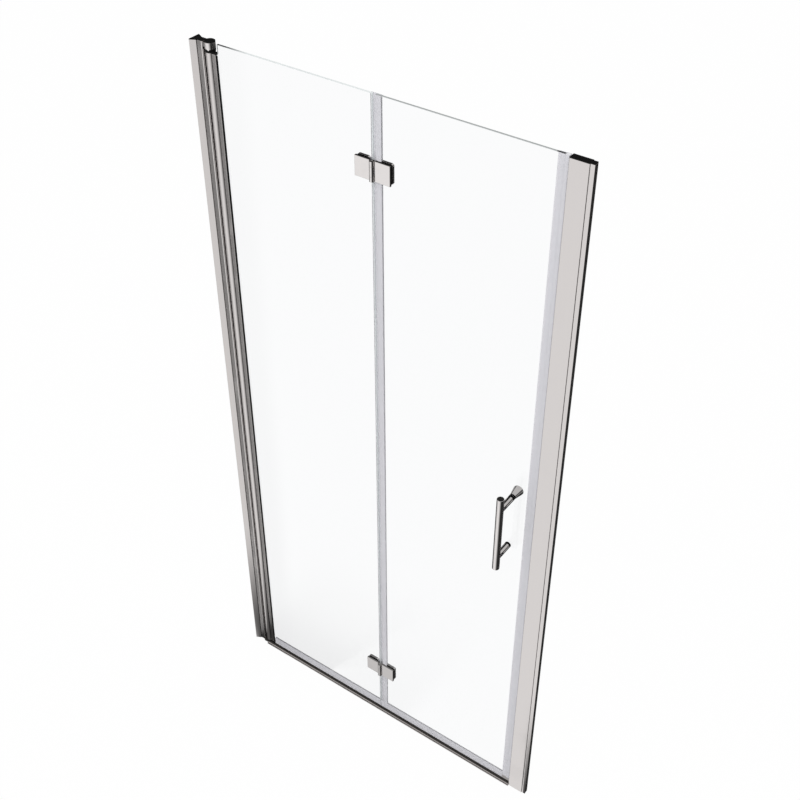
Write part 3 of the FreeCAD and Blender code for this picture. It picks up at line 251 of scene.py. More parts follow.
# Finishes of clear pieces, which the metal doesn't mirror
UNMIRRORED = ("clear_glass", "clear_seal")


def make_piece(name, bars, body, finish, *nodes):
    """A new object of one or more bars, that rides on a body and stands for CAD nodes."""
    points = []
    faces = []
    count = 0
    for loops in bars:
        bar_points, bar_faces = bar_mesh(loops)
        points.append(bar_points)
        faces += [[corner + count for corner in face] for face in bar_faces]
        count += len(bar_points)
    mesh = bpy.data.meshes.new(name)
    mesh.from_pydata(np.concatenate(points).tolist(), [], faces)
    mesh.validate()
    mesh.shade_smooth()
    mesh.set_sharp_from_angle(angle=SMOOTH_LIMIT)
    mesh.materials.append(finish_of(finish))
    piece = bpy.data.objects.new(name, mesh)
    bpy.context.scene.collection.objects.link(piece)
    piece.visible_glossy = finish not in UNMIRRORED
    keep_flat(piece)
    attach(piece, body)
    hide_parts(*nodes)


def smooth_group():
    """Geometry nodes that shade a mesh smooth, and keep each edge over the limit sharp."""
    name = "smooth by angle"
    group = bpy.data.node_groups.get(name)
    if group:
        return group
    group = bpy.data.node_groups.new(name, "GeometryNodeTree")
    for way in ("INPUT", "OUTPUT"):
        group.interface.new_socket("Geometry", in_out=way, socket_type="NodeSocketGeometry")
    tree = Tree(group)
    shape = tree.node("NodeGroupInput")
    angle = tree.node("GeometryNodeInputMeshEdgeAngle")
    settings = {"data_type": "FLOAT", "operation": "LESS_THAN"}
    soft = tree.node("FunctionNodeCompare", settings, {0: angle, 1: SMOOTH_LIMIT})
    for domain, smooth in (("FACE", True), ("EDGE", soft)):
        sockets = {"Geometry": shape, "Shade Smooth": smooth}
        shape = tree.node("GeometryNodeSetShadeSmooth", {"domain": domain}, sockets)
    tree.node("NodeGroupOutput", {}, {"Geometry": shape})
    return group


def keep_flat(solid):
    """Weighs the normals by the faces' areas, so that a flat face stays flat beside a rounded edge."""
    even = solid.modifiers.new("even normals", "WEIGHTED_NORMAL")
    even.keep_sharp = True


def dress(finish, *nodes, edge=0.0):
    """Gives CAD nodes a finish, and where an edge is given, rounds their edges by modifiers."""
    for node in nodes:
        solid = frame["nodes"][node]
        solid.visible_glossy = finish not in UNMIRRORED
        for place in solid.material_slots:
            place.material = finish_of(finish)
        if not edge:
            continue
        weld = solid.modifiers.new("merge faces", "WELD")
        weld.merge_threshold = WELD_DISTANCE
        flat = solid.modifiers.new("flat faces", "DECIMATE")
        flat.decimate_type = "DISSOLVE"
        flat.angle_limit = FLAT_LIMIT
        bevel = solid.modifiers.new("rounded edges", "BEVEL")
        bevel.width = edge
        bevel.segments = BEVEL_STEPS
        bevel.limit_method = "ANGLE"
        bevel.angle_limit = BEVEL_LIMIT
        bevel.use_clamp_overlap = False
        smooth = solid.modifiers.new("smooth faces", "NODES")
        smooth.node_group = smooth_group()
        keep_flat(solid)


# Materials


class Value:
    """One output of a node; sums, differences and products of it add Math nodes."""

    def __init__(self, tree, socket):
        self.tree = tree
        self.socket = socket

    def _math(self, operation, first, second):
        """A Math node on two values."""
        return self.tree.node("ShaderNodeMath", {"operation": operation}, {0: first, 1: second})

    def __add__(self, other):
        return self._math("ADD", self, other)

    __radd__ = __add__

    def __sub__(self, other):
        return self._math("SUBTRACT", self, other)

    def __rsub__(self, other):
        return self._math("SUBTRACT", other, self)

    def __mul__(self, other):
        return self._math("MULTIPLY", self, other)

    __rmul__ = __mul__

    def size(self):
        """The value without its sign."""
        return self._math("ABSOLUTE", self, 0.0)

    def least(self, other):
        """The lower of two values."""
        return self._math("MINIMUM", self, other)

    def most(self, other):
        """The higher of two values."""
        return self._math("MAXIMUM", self, other)


# Places of the colours among the sockets of a Mix node
MIX_FIRST = 6
MIX_SECOND = 7
MIX_RESULT = 2

NOISE_DETAIL = 3.0


class Tree:
    """A node tree, filled by one method that adds a node of any type."""

    def __init__(self, group):
        self.group = group
        group.nodes.clear()

    def node(self, kind, settings=None, inputs=None, output=0):
        """Adds a node with its settings, then the values or links of its sockets; gives one output."""
        made = self.group.nodes.new(kind)
        for name, value in (settings or {}).items():
            setattr(made, name, value)
        for name, value in (inputs or {}).items():
            if isinstance(value, Value):
                self.group.links.new(value.socket, made.inputs[name])
            else:
                made.inputs[name].default_value = value
        return Value(self, made.outputs[output]) if made.outputs else None

    def blend(self, factor, first, second):
        """A colour between two others."""
        colours = {0: factor, MIX_FIRST: first, MIX_SECOND: second}
        return self.node("ShaderNodeMix", {"data_type": "RGBA"}, colours, MIX_RESULT)

    def clouded(self, factor, colour, share):
        """A colour that a factor takes to a share of itself."""
        return self.blend(factor, shaded(colour, 1.0), shaded(colour, share))

    def mixed(self, factor, first, second):
        """A shader between two others."""
        return self.node("ShaderNodeMixShader", {}, {0: factor, 1: first, 2: second})

    def show(self, shader, kind="Material"):
        """Links a shader to the output of a material or of the world."""
        self.node("ShaderNodeOutput" + kind, {}, {"Surface": shader})

    def parts(self, kind, axes):
        """Parts of a kind of coordinates, one for each named axis."""
        place = self.node("ShaderNodeTexCoord", output=kind)
        return [self.node("ShaderNodeSeparateXYZ", {}, {"Vector": place}, axis) for axis in axes]

    def noise(self, scale, detail=NOISE_DETAIL):
        """Smooth noise on object coordinates, with its own scale along each axis."""
        place = self.node("ShaderNodeTexCoord", output="Object")
        place = self.node("ShaderNodeMapping", {}, {"Vector": place, "Scale": scale})
        return self.node("ShaderNodeTexNoise", {}, {"Vector": place, "Scale": 1.0, "Detail": detail})

    def band(self, value, low, high):
        """A value taken from 0 at low to 1 at high, smoothly."""
        settings = {"interpolation_type": "SMOOTHSTEP"}
        return self.node("ShaderNodeMapRange", settings, {"Value": value, "From Min": low, "From Max": high})

    def surface(self, sockets):
        """The main shader with the values or links of its sockets."""
        return self.node("ShaderNodeBsdfPrincipled", {}, sockets)

    def bump(self, height, distance, strength):
        """A normal tilted by a height."""
        return self.node("ShaderNodeBump", {}, {"Height": height, "Distance": distance, "Strength": strength})


def shaded(colour, share):
    """A colour times a share, with full alpha."""
    return tuple(min(1.0, part * share) for part in colour[:3]) + (1.0,)


# Wiped smudges of the bright metals, and their fine lines with a scale along each axis
SMUDGE_DETAIL = 4.0
SMUDGE_LOW = 0.5
SMUDGE_HIGH = 0.75
SMUDGE_SHADE = 0.97
SMUDGE_ROUGH = 0.05
LINE_ROUGH = 0.03
LINE_HEIGHT = 0.01 * MM
LINE_STRENGTH = 0.25
FINE = 1500.0
LONG = 6.0
UPRIGHT_LINES = (FINE, FINE, LONG)
LEVEL_LINES = (LONG, FINE, FINE)
POLISH_LINES = (600.0,) * 3
TURNED_LINES = (2200.0, 300.0, 2200.0)
PROFILE_SMUDGES = 7.0
FITTING_SMUDGES = 35.0


def metal(tree, colour, roughness, lines, smudge_scale):
    """A bright metal: fine lines of the die or the polish, and faint wiped smudges.

    Roughness is the base value plus a share of the lines and of the smudges, which are cloudy noise
    raised above its middle, and the colour darkens a little where the smudges are.
    """
    grain = tree.noise(lines)
    smudge = tree.band(tree.noise((smudge_scale,) * 3, SMUDGE_DETAIL), SMUDGE_LOW, SMUDGE_HIGH)
    return tree.surface({
        "Base Color": tree.clouded(smudge, colour, SMUDGE_SHADE),
        "Metallic": 1.0,
        "Roughness": roughness + smudge * SMUDGE_ROUGH + grain * LINE_ROUGH,
        "Normal": tree.bump(grain, LINE_HEIGHT, LINE_STRENGTH),
    })


def aluminium_upright(tree, finishes):
    """Bright extruded profile with die lines up its length."""
    return metal(tree, finishes.aluminium, finishes.aluminium_rough, UPRIGHT_LINES, PROFILE_SMUDGES)


# Borders of the painted shade along the front edge of the sill, a dark band for the shaded gap under the
# bottom seal: its foot on the riser, and its rear on top
SHADE_BAND_FOOT = (4.8 * MM, 5.2 * MM)
SHADE_BAND_REAR = (-3.0 * MM, -3.4 * MM)


def sill_metal_with_painted_shade(tree, finishes):
    """Satin profile with die lines along the opening, and painted shade along its front edge: a dark band for
    the shaded gap under the bottom seal.
    """
    y, z = tree.parts("Object", "YZ")
    # Painted shade: the mask of the dark band over the sill's front top edge
    edge = tree.band(z, *SHADE_BAND_FOOT) * tree.band(y, *SHADE_BAND_REAR)
    profile = metal(tree, finishes.aluminium, finishes.sill_rough, LEVEL_LINES, PROFILE_SMUDGES)
    # A dull black that paints the shade of the gap under the bottom seal
    strip = dull_black(tree, finishes.strip, RUBBER_ROUGH, RUBBER_STRENGTH)
    return tree.mixed(edge, profile, strip)


def chrome(tree, finishes):
    """Chrome of the fittings, with the faint haze of a cloth."""
    return metal(tree, finishes.chrome, finishes.chrome_rough, POLISH_LINES, FITTING_SMUDGES)


def steel(tree, finishes):
    """Turned stainless steel of the screws and pins."""
    return metal(tree, finishes.steel, finishes.steel_rough, TURNED_LINES, FITTING_SMUDGES)


GRAIN_SCALE = (2600.0,) * 3
GRAIN_DETAIL = 1.0
GRAIN_HEIGHT = 0.05 * MM
PLASTIC_STRENGTH = 0.2
RUBBER_STRENGTH = 0.35
CLOUD_SCALE = (60.0,) * 3
BLACK_LIFT = 1.6
BLACK_SHINE = 0.06
PLASTIC_ROUGH = 0.38
RUBBER_ROUGH = 0.55
ROUGH_SPREAD = 0.12


def dull_black(tree, colour, roughness, strength):
    """A black moulding: fine spark grain in the surface and cloudy sheen."""
    cloud = tree.noise(CLOUD_SCALE)
    grain = tree.noise(GRAIN_SCALE, GRAIN_DETAIL)
    return tree.surface({
        "Base Color": tree.clouded(cloud, colour, BLACK_LIFT),
        "Roughness": roughness + cloud * ROUGH_SPREAD,
        "Specular IOR Level": BLACK_SHINE,
        "Normal": tree.bump(grain, GRAIN_HEIGHT, strength),
    })


def black_plastic(tree, finishes):
    """Moulded caps, bushes and blocks."""
    return dull_black(tree, finishes.plastic, PLASTIC_ROUGH, PLASTIC_STRENGTH)


def black_rubber(tree, finishes):
    """Gasket, pads and washers."""
    return dull_black(tree, finishes.rubber, RUBBER_ROUGH, RUBBER_STRENGTH)


GLASS_IOR = 1.5
# A coat that takes most of the mirroring off the panes
GLASS_COAT = (0.2, 0.2, 0.2, 1.0)
GLASS_CLOUD = (1.5, 1.5, 0.8)
GLASS_SHADE = 0.994
# How far the normal of a ground edge turns away from the pane's
EDGE_BORDER = (0.95, 0.6)
EDGE_GRAIN = (900.0,) * 3
# Painted light on the ground edges: the top of the pivot pane and the upright edges are painted paler, a
# painted highlight.
# The top starts dark beside the pivot head, a painted reflection of it, and the top of the folding pane ends
# dark in the closing seal, a painted shade.
EDGE_HIGHLIGHT_SPAN = (-0.004, -0.008)
EDGE_HIGHLIGHT_LIFT = 2.0
EDGE_HEAD_REFLECTION = (-0.335, -0.415)
EDGE_SEAL_SHADE = (0.415, 0.420)
EDGE_PAINTED_DARK = 0.08
EDGE_ROUGH = 0.35
EDGE_SPREAD = 0.15


def clear_glass(tree, finishes):
    """Clear toughened glass with a faint tint that clouds slightly over the pane, and ground edges whose
    colour carries a painted highlight, a painted reflection and painted shade.
    """
    cloud = tree.noise(GLASS_CLOUD)
    pane = tree.surface({
        "Base Color": tree.clouded(cloud, finishes.glass, GLASS_SHADE),
        "Roughness": 0.0,
        "IOR": GLASS_IOR,
        "Specular Tint": GLASS_COAT,
        "Transmission Weight": 1.0,
    })
    grain = tree.noise(EDGE_GRAIN)
    across, up = tree.parts("Normal", "YZ")
    along = tree.parts("Object", "X")[0]
    top = up.most(0.0)
    # Painted highlight: the top edge of the pivot pane and the upright edges are lifted paler
    pale = (tree.band(along, *EDGE_HIGHLIGHT_SPAN) * top).most(1 - up.size())
    painted_tone = tree.clouded(pale, finishes.edge, EDGE_HIGHLIGHT_LIFT)
    # Painted reflection of the pivot head on the pivot pane's top edge, and painted shade where the folding
    # pane's top runs into the closing seal
    dark = tree.band(along, *EDGE_HEAD_REFLECTION).most(tree.band(along, *EDGE_SEAL_SHADE)) * top
    painted_tone = tree.blend(dark, painted_tone, shaded(finishes.edge, EDGE_PAINTED_DARK))
    ground = tree.surface({
        "Base Color": painted_tone,
        "Roughness": EDGE_ROUGH + grain * EDGE_SPREAD,
    })
    edge = tree.band(across.size(), *EDGE_BORDER)
    return tree.mixed(edge, pane, ground)


SEAL_GRAIN = (500.0, 500.0, 60.0)
SEAL_SHADE = 0.95
SEAL_ROUGH = 0.25
SEAL_SPREAD = 0.1
SEAL_HEIGHT = 0.01 * MM
SEAL_STRENGTH = 0.03


def clear_seal(tree, finishes):
    """Translucent soft PVC: every wall lets part of the light through, so bends look deeper."""
    cloud = tree.noise(CLOUD_SCALE)
    grain = tree.noise(SEAL_GRAIN)
    return tree.surface({
        "Base Color": tree.clouded(cloud, finishes.seal, SEAL_SHADE),
        "Roughness": SEAL_ROUGH + cloud * SEAL_SPREAD,
        "Alpha": finishes.seal_alpha,
        "Normal": tree.bump(grain, SEAL_HEIGHT, SEAL_STRENGTH),
    })


MAGNET_ROUGH = 0.5
MAGNET_LIFT = 1.15


def magnet_strip(tree, finishes):
    """Flexible magnet strip with a chalky, speckled surface."""
    speckle = tree.noise(GRAIN_SCALE, GRAIN_DETAIL)
    return tree.surface({
        "Base Color": tree.clouded(speckle, finishes.magnet, MAGNET_LIFT),
        "Roughness": MAGNET_ROUGH + speckle * ROUGH_SPREAD,
    })


FINISHES = {
    "aluminium_upright": aluminium_upright,
    "sill_metal_with_painted_shade": sill_metal_with_painted_shade,
    "chrome": chrome,
    "steel": steel,
    "black_plastic": black_plastic,
    "black_rubber": black_rubber,
    "clear_glass": clear_glass,
    "clear_seal": clear_seal,
    "magnet_strip": magnet_strip,
}


def new_material(name):
    """A new material and its emptied node tree."""
    material = bpy.data.materials.new(name)
    material.use_nodes = True
    return material, Tree(material.node_tree)


def finish_of(name):
    """The material of a finish, made when it is first asked for."""
    title = "door_" + name
    material = bpy.data.materials.get(title)
    if material is None:
        material, tree = new_material(title)
        tree.show(FINISHES[name](tree, bpy.context.scene.shower_door.finishes))
    return material


# Settings


LENGTH_DIGITS = 5


def length(name, description, millimetres):
    """A size setting, given here in millimetres."""
    return FloatProperty(
        name=name,
        description=description,
        default=millimetres * MM,
        unit="LENGTH",
        precision=LENGTH_DIGITS,
    )


def share(name, description, default):
    """A setting from 0 to 1."""
    return FloatProperty(
        name=name, description=description, default=default, min=0.0, max=1.0, subtype="FACTOR"
    )


def colour(name, description, default):
    """A colour setting."""
    return FloatVectorProperty(
        name=name, description=description, default=default, size=3, min=0.0, max=1.0, subtype="COLOR"
    )


class ShowerDoorProfiles(bpy.types.PropertyGroup):
    """Sizes of the metal profiles"""

    profile_edge: length("Profile edge", "Rounding of the extruded edges", 0.3)
    strike_edge: length("Strike edge", "Rounding of the edges of the strike profile", 0.6)
    post_edge: length("Post edge", "Rounding of the free edges of the hinge post", 3.8)
    post_wall: length("Post wall", "Wall of the hinge post", 1.8)
    fitting_edge: length("Fitting edge", "Rounding of the edges of caps and fittings", 0.3)
    plate_edge: length("Plate edge", "Rounding of the edges of the hinge plates and clamps", 0.15)
    lip_groove: length("Lip groove", "Depth of the groove between the pivot tube and its front lip", 1.5)
    lip_wall: length("Lip wall", "Wall of the lips that hold the glass in the pivot tube", 1.7)
    lip_edge: length("Lip edge", "Rounding of the lips of the pivot tube", 0.7)
    tube_wall: length("Tube wall", "Wall of the pivot tube", 2.0)
    rear_lip: length("Rear lip", "Reach of the rear lip from the pivot axis", 12.5)
    pocket: length("Pocket", "Floor of the glass pocket from the pivot axis", 6.9)


class ShowerDoorSeals(bpy.types.PropertyGroup):
    """Sizes of the seals and gaskets"""

    wall: length("Wall", "Wall of the clear seals", 1.2)
    fit: length("Fit", "Clearance of a seal round the glass", 0.1)
    tip: length("Tip", "Rounding of the tips of the legs", 0.5)
    bend: length("Bend", "Rounding of the outer bends", 1.6)
    end: length("End", "Rounding of the cut ends", 0.15)
    fin_place: length("Fin place", "Place of the drip fin behind the middle of the glass", 1.0)
    fin_drop: length("Fin drop", "Drop of the drip fin under the glass seat", 9.5)
    gasket_wall: length("Gasket wall", "Wall of the black gasket beside the glass", 0.7)
    gasket_bead: length("Gasket bead", "Width of the front bead past the lip", 4.5)
    rear_bead: length("Rear bead", "Width of the rear bead past the lip", 1.5)
    bead_round: length("Bead rounding", "Rounding of the gasket beads", 1.1)
    strip_base: length("Strip base", "Thickness of the base of the post strip", 1.8)
    strip_lip: length("Strip lip", "Width of the lip of the post strip", 5.0)
    pad_corner: length("Pad corner", "Corner rounding of the rear hinge pads", 5.0)
    pad_edge: length("Pad edge", "Edge rounding of pads and washers", 0.3)


class ShowerDoorHandle(bpy.types.PropertyGroup):
    """Sizes of the handle"""

    bar_edge: length("Bar edge", "Rounding of the rims of the bar", 0.9)
    post_edge: length("Post edge", "Rounding of the foot of a post", 0.5)
    knob_edge: length("Knob edge", "Rounding of the rim of the inner knob", 1.2)
    saddle: length("Saddle", "Depth by which a post is let into the bar", 0.4)
    sleeve: length("Sleeve", "Length of the black sleeves at the feet of the posts", 7.0)


class ShowerDoorFinishes(bpy.types.PropertyGroup):
    """Colours and gloss of the materials"""

    aluminium: colour("Aluminium", "Bright profiles", (0.66, 0.63, 0.62))
    aluminium_rough: share("Aluminium roughness", "Gloss of the bright profiles", 0.08)
    sill_rough: share("Sill roughness", "Gloss of the sill", 0.2)
    chrome: colour("Chrome", "Hinges, handle and pivot head", (0.75, 0.72, 0.71))
    chrome_rough: share("Chrome roughness", "Gloss of the chrome", 0.04)
    steel: colour("Steel", "Screws and pins", (0.56, 0.55, 0.54))
    steel_rough: share("Steel roughness", "Gloss of the screws and pins", 0.24)
    plastic: colour("Black plastic", "Caps, bushes and blocks", (0.005, 0.005, 0.005))
    rubber: colour("Black rubber", "Gasket, pads and washers", (0.004, 0.004, 0.004))
    # Colour of the painted shade along the sill's front edge
    strip: colour("Sill strip", "Dark strip along the sill", (0.026, 0.024, 0.022))
    glass: colour("Glass", "Tint of the panes at each face", (0.970, 0.974, 0.979))
    edge: colour("Glass edge", "Ground edges of the panes", (0.42, 0.44, 0.44))
    seal: colour("Seal", "Clear seals", (0.732, 0.727, 0.767))
    seal_alpha: share("Seal density", "Share of the light that one face of a seal keeps", 0.74)
    magnet: colour("Magnet", "Magnet strips", (0.74, 0.74, 0.76))


class ShowerDoorStage(bpy.types.PropertyGroup):
    """Camera, light and floor"""

    camera: FloatVectorProperty(
        name="Camera",
        description="Place of the camera",
        default=(1.3643, -1.8331, 3.0598),
        subtype="XYZ",
        unit="LENGTH",
    )
    view: FloatVectorProperty(
        name="View",
        description="Direction of the view",
        default=(-0.450775, 0.632776, -0.629652),
        subtype="XYZ",
    )
    lens: FloatProperty(name="Lens", description="Focal length", default=54.69, unit="CAMERA")
    floor: colour("Floor", "Pale floor", (0.95, 0.95, 0.95))
    floor_white: share("Floor white", "Share of plain white in the floor as seen", 0.975)
    ambient: FloatProperty(name="Ambient", description="Soft light from all round", default=0.78, min=0.0)
    lamp: FloatProperty(
        name="Lamp", description="Power of the soft lamp", default=52.0, min=0.0, unit="POWER"
    )


class ShowerDoorSettings(bpy.types.PropertyGroup):
    """All settings of the door"""

    profiles: PointerProperty(type=ShowerDoorProfiles, name="Profiles", description="Sizes of the profiles")
    seals: PointerProperty(type=ShowerDoorSeals, name="Seals", description="Sizes of the seals")
    handle: PointerProperty(type=ShowerDoorHandle, name="Handle", description="Sizes of the handle")
    finishes: PointerProperty(type=ShowerDoorFinishes, name="Finishes", description="Colours and gloss")
    stage: PointerProperty(type=ShowerDoorStage, name="Stage", description="Camera, light and floor")


# Pieces


class SHOWER_DOOR_OT_profiles(bpy.types.Operator):
    """Finish the wall channels, post, strike profile and sill, with rounded edges"""

    bl_idname = "shower_door.profiles"
    bl_label = "Frame profiles"

    def execute(self, context):
        profiles = context.scene.shower_door.profiles
        edge = profiles.profile_edge
        dress("aluminium_upright", "hinge_wall_channel", "strike_wall_channel", edge=edge)
        dress("aluminium_upright", "strike_profile", edge=profiles.strike_edge)
        dress("sill_metal_with_painted_shade", "threshold_sill", edge=edge)
        self.post(profiles)
        return {"FINISHED"}

    def post(self, profiles):
        """A rectangular tube whose free edges, on the side of the pivot tube, are well rounded."""
        low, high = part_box("hinge_post")
        edge = profiles.profile_edge
        loops = []
        for inset, run in ((0.0, 1), (profiles.post_wall, -1)):
            free = profiles.post_edge - inset
            corners = rectangle(low.x + inset, high.x - inset, low.y + inset, high.y - inset)
            outline = rounded(corners, [edge, free, free, edge])[::run]
            loops.append(carried(outline, low.z, high.z, edge))
        make_piece("hinge_post_shell", [loops], FRAME, "aluminium_upright", "hinge_post")


class SHOWER_DOOR_OT_pivots(bpy.types.Operator):
    """Finish the top and bottom pivots, the tube's end caps and the frame caps"""

    bl_idname = "shower_door.pivots"
    bl_label = "Pivots and caps"

    def execute(self, context):
        edge = context.scene.shower_door.profiles.fitting_edge
        dress("chrome", "top_pivot_block", edge=edge)
        mouldings = ("hinge_frame_cap", "strike_frame_cap", "tube_top_cap", "tube_bottom_cap")
        dress("black_plastic", *mouldings, "top_pivot_bush", "bottom_pivot_block", edge=edge)
        dress("black_plastic", "top_pivot_cover", "bottom_pivot_washer")
        dress("steel", "top_pivot_pin", "bottom_pivot_pin")
        return {"FINISHED"}


class SHOWER_DOOR_OT_tube(bpy.types.Operator):
    """Build the pivot tube with its glass pocket, the gasket and the post strip"""

    bl_idname = "shower_door.tube"
    bl_label = "Pivot tube"

    def execute(self, context):
        settings = context.scene.shower_door
        self.tube(settings.profiles, settings.seals)
        self.gasket(settings.profiles, settings.seals)
        self.strip(settings.seals)
        return {"FINISHED"}

    def circle(self, radius, first, last):
        """Points of a circle round the pivot axis, from one angle to another."""
        turn = np.linspace(first, last, TUBE_STEPS)
        return np.stack((PIVOT.x + radius * np.cos(turn), PIVOT.y + radius * np.sin(turn)), axis=1)

    def tube(self, profiles, seals):
        """The section is a circle from the rear lip round to the front lip, closed by the pocket's walls.

        The circle meets the outer face of a lip where its height over the axis is the lip's, so at the
        angle whose sine is that height over the radius. At the front it runs on as far as the bottom of a
        groove beside the lip. The bore is a smaller circle cut by the pocket.
        """
        low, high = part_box("pivot_tube")
        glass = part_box("pivot_glass")[1].y
        radius = PIVOT.x - low.x
        inner = glass + seals.gasket_wall
        outer = inner + profiles.lip_wall
        floor = PIVOT.x + profiles.pocket
        rear_end = PIVOT.x + profiles.rear_lip
        groove = profiles.lip_groove
        rear = math.asin((outer - PIVOT.y) / radius)
        front = 2 * math.pi - math.asin((outer - groove + PIVOT.y) / radius)
        round_part = self.circle(radius, rear, front)
        corners = [
            round_part[-1],
            (round_part[-1][0] + groove, -outer),
            (high.x, -outer),
            (high.x, -inner),
            (floor, -inner),
            (floor, inner),
            (rear_end, inner),
            (rear_end, outer),
            round_part[0],
        ]
        edge = profiles.lip_edge
        sharp = seals.end
        lips = rounded_run(corners, [sharp, edge, edge, sharp, sharp, edge, edge])
        outline = np.concatenate((lips[:-1], round_part[:-1]))
        bore = radius - profiles.tube_wall
        back = profiles.pocket - profiles.lip_wall
        cut = math.acos(back / bore)
        hole = self.circle(bore, cut, 2 * math.pi - cut)[::-1]
        loops = [carried(loop, low.z, high.z, sharp) for loop in (outline, hole)]
        make_piece("pivot_tube_shell", [loops], PIVOT_LEAF, "aluminium_upright", "pivot_tube")

    def gasket(self, profiles, seals):
        """The section is a U round the glass edge with a round bead past the end of each lip."""
        low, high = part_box("glass_gasket")
        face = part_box("pivot_glass")[1].y
        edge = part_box("pivot_glass")[0].x
        near = face + TOUCH
        wall = face + seals.gasket_wall
        front_lip = high.x - seals.gasket_bead + seals.fit
        rear_lip = PIVOT.x + profiles.rear_lip + seals.fit
        rear_end = PIVOT.x + profiles.rear_lip + seals.rear_bead
        seat = edge - seals.fit
        bead = seals.bead_round
        small = seals.end
        corners = [
            (high.x, -near, small),
            (seat, -near, small),
            (seat, near, small),
            (rear_end, near, small),
            (rear_end, high.y, bead),
            (rear_lip, high.y, small),
            (rear_lip, wall, small),
            (low.x, wall, small),
            (low.x, -wall, small),
            (front_lip, -wall, small),
            (front_lip, low.y, bead),
            (high.x, low.y, bead),
        ]
        outline = section(corners)
        loops = [carried(outline, low.z, high.z, seals.end)]
        make_piece("glass_gasket_strip", [loops], PIVOT_LEAF, "black_rubber", "glass_gasket")

    def strip(self, seals):
        """The section is a flat base that tapers to a narrower lip with round corners."""
        low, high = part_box("post_seal_strip")
        middle = (low.y + high.y) / 2
        lip = seals.strip_lip / 2
        base = low.x + seals.strip_base
        corners = [
            (low.x, low.y),
            (base, low.y),
            (high.x, middle - lip),
            (high.x, middle + lip),
            (base, high.y),
            (low.x, high.y),
        ]
        small, large = seals.end, seals.tip
        outline = rounded(corners, [small, large, large, large, large, small])
        loops = [carried(outline, low.z, high.z, small)]
        make_piece("post_strip_lip", [loops], FRAME, "black_rubber", "post_seal_strip")


class SHOWER_DOOR_OT_glass(bpy.types.Operator):
    """Finish the two panes"""

    bl_idname = "shower_door.glass"
    bl_label = "Glass"

    def execute(self, context):
        dress("clear_glass", "pivot_glass", "folding_glass")
        return {"FINISHED"}


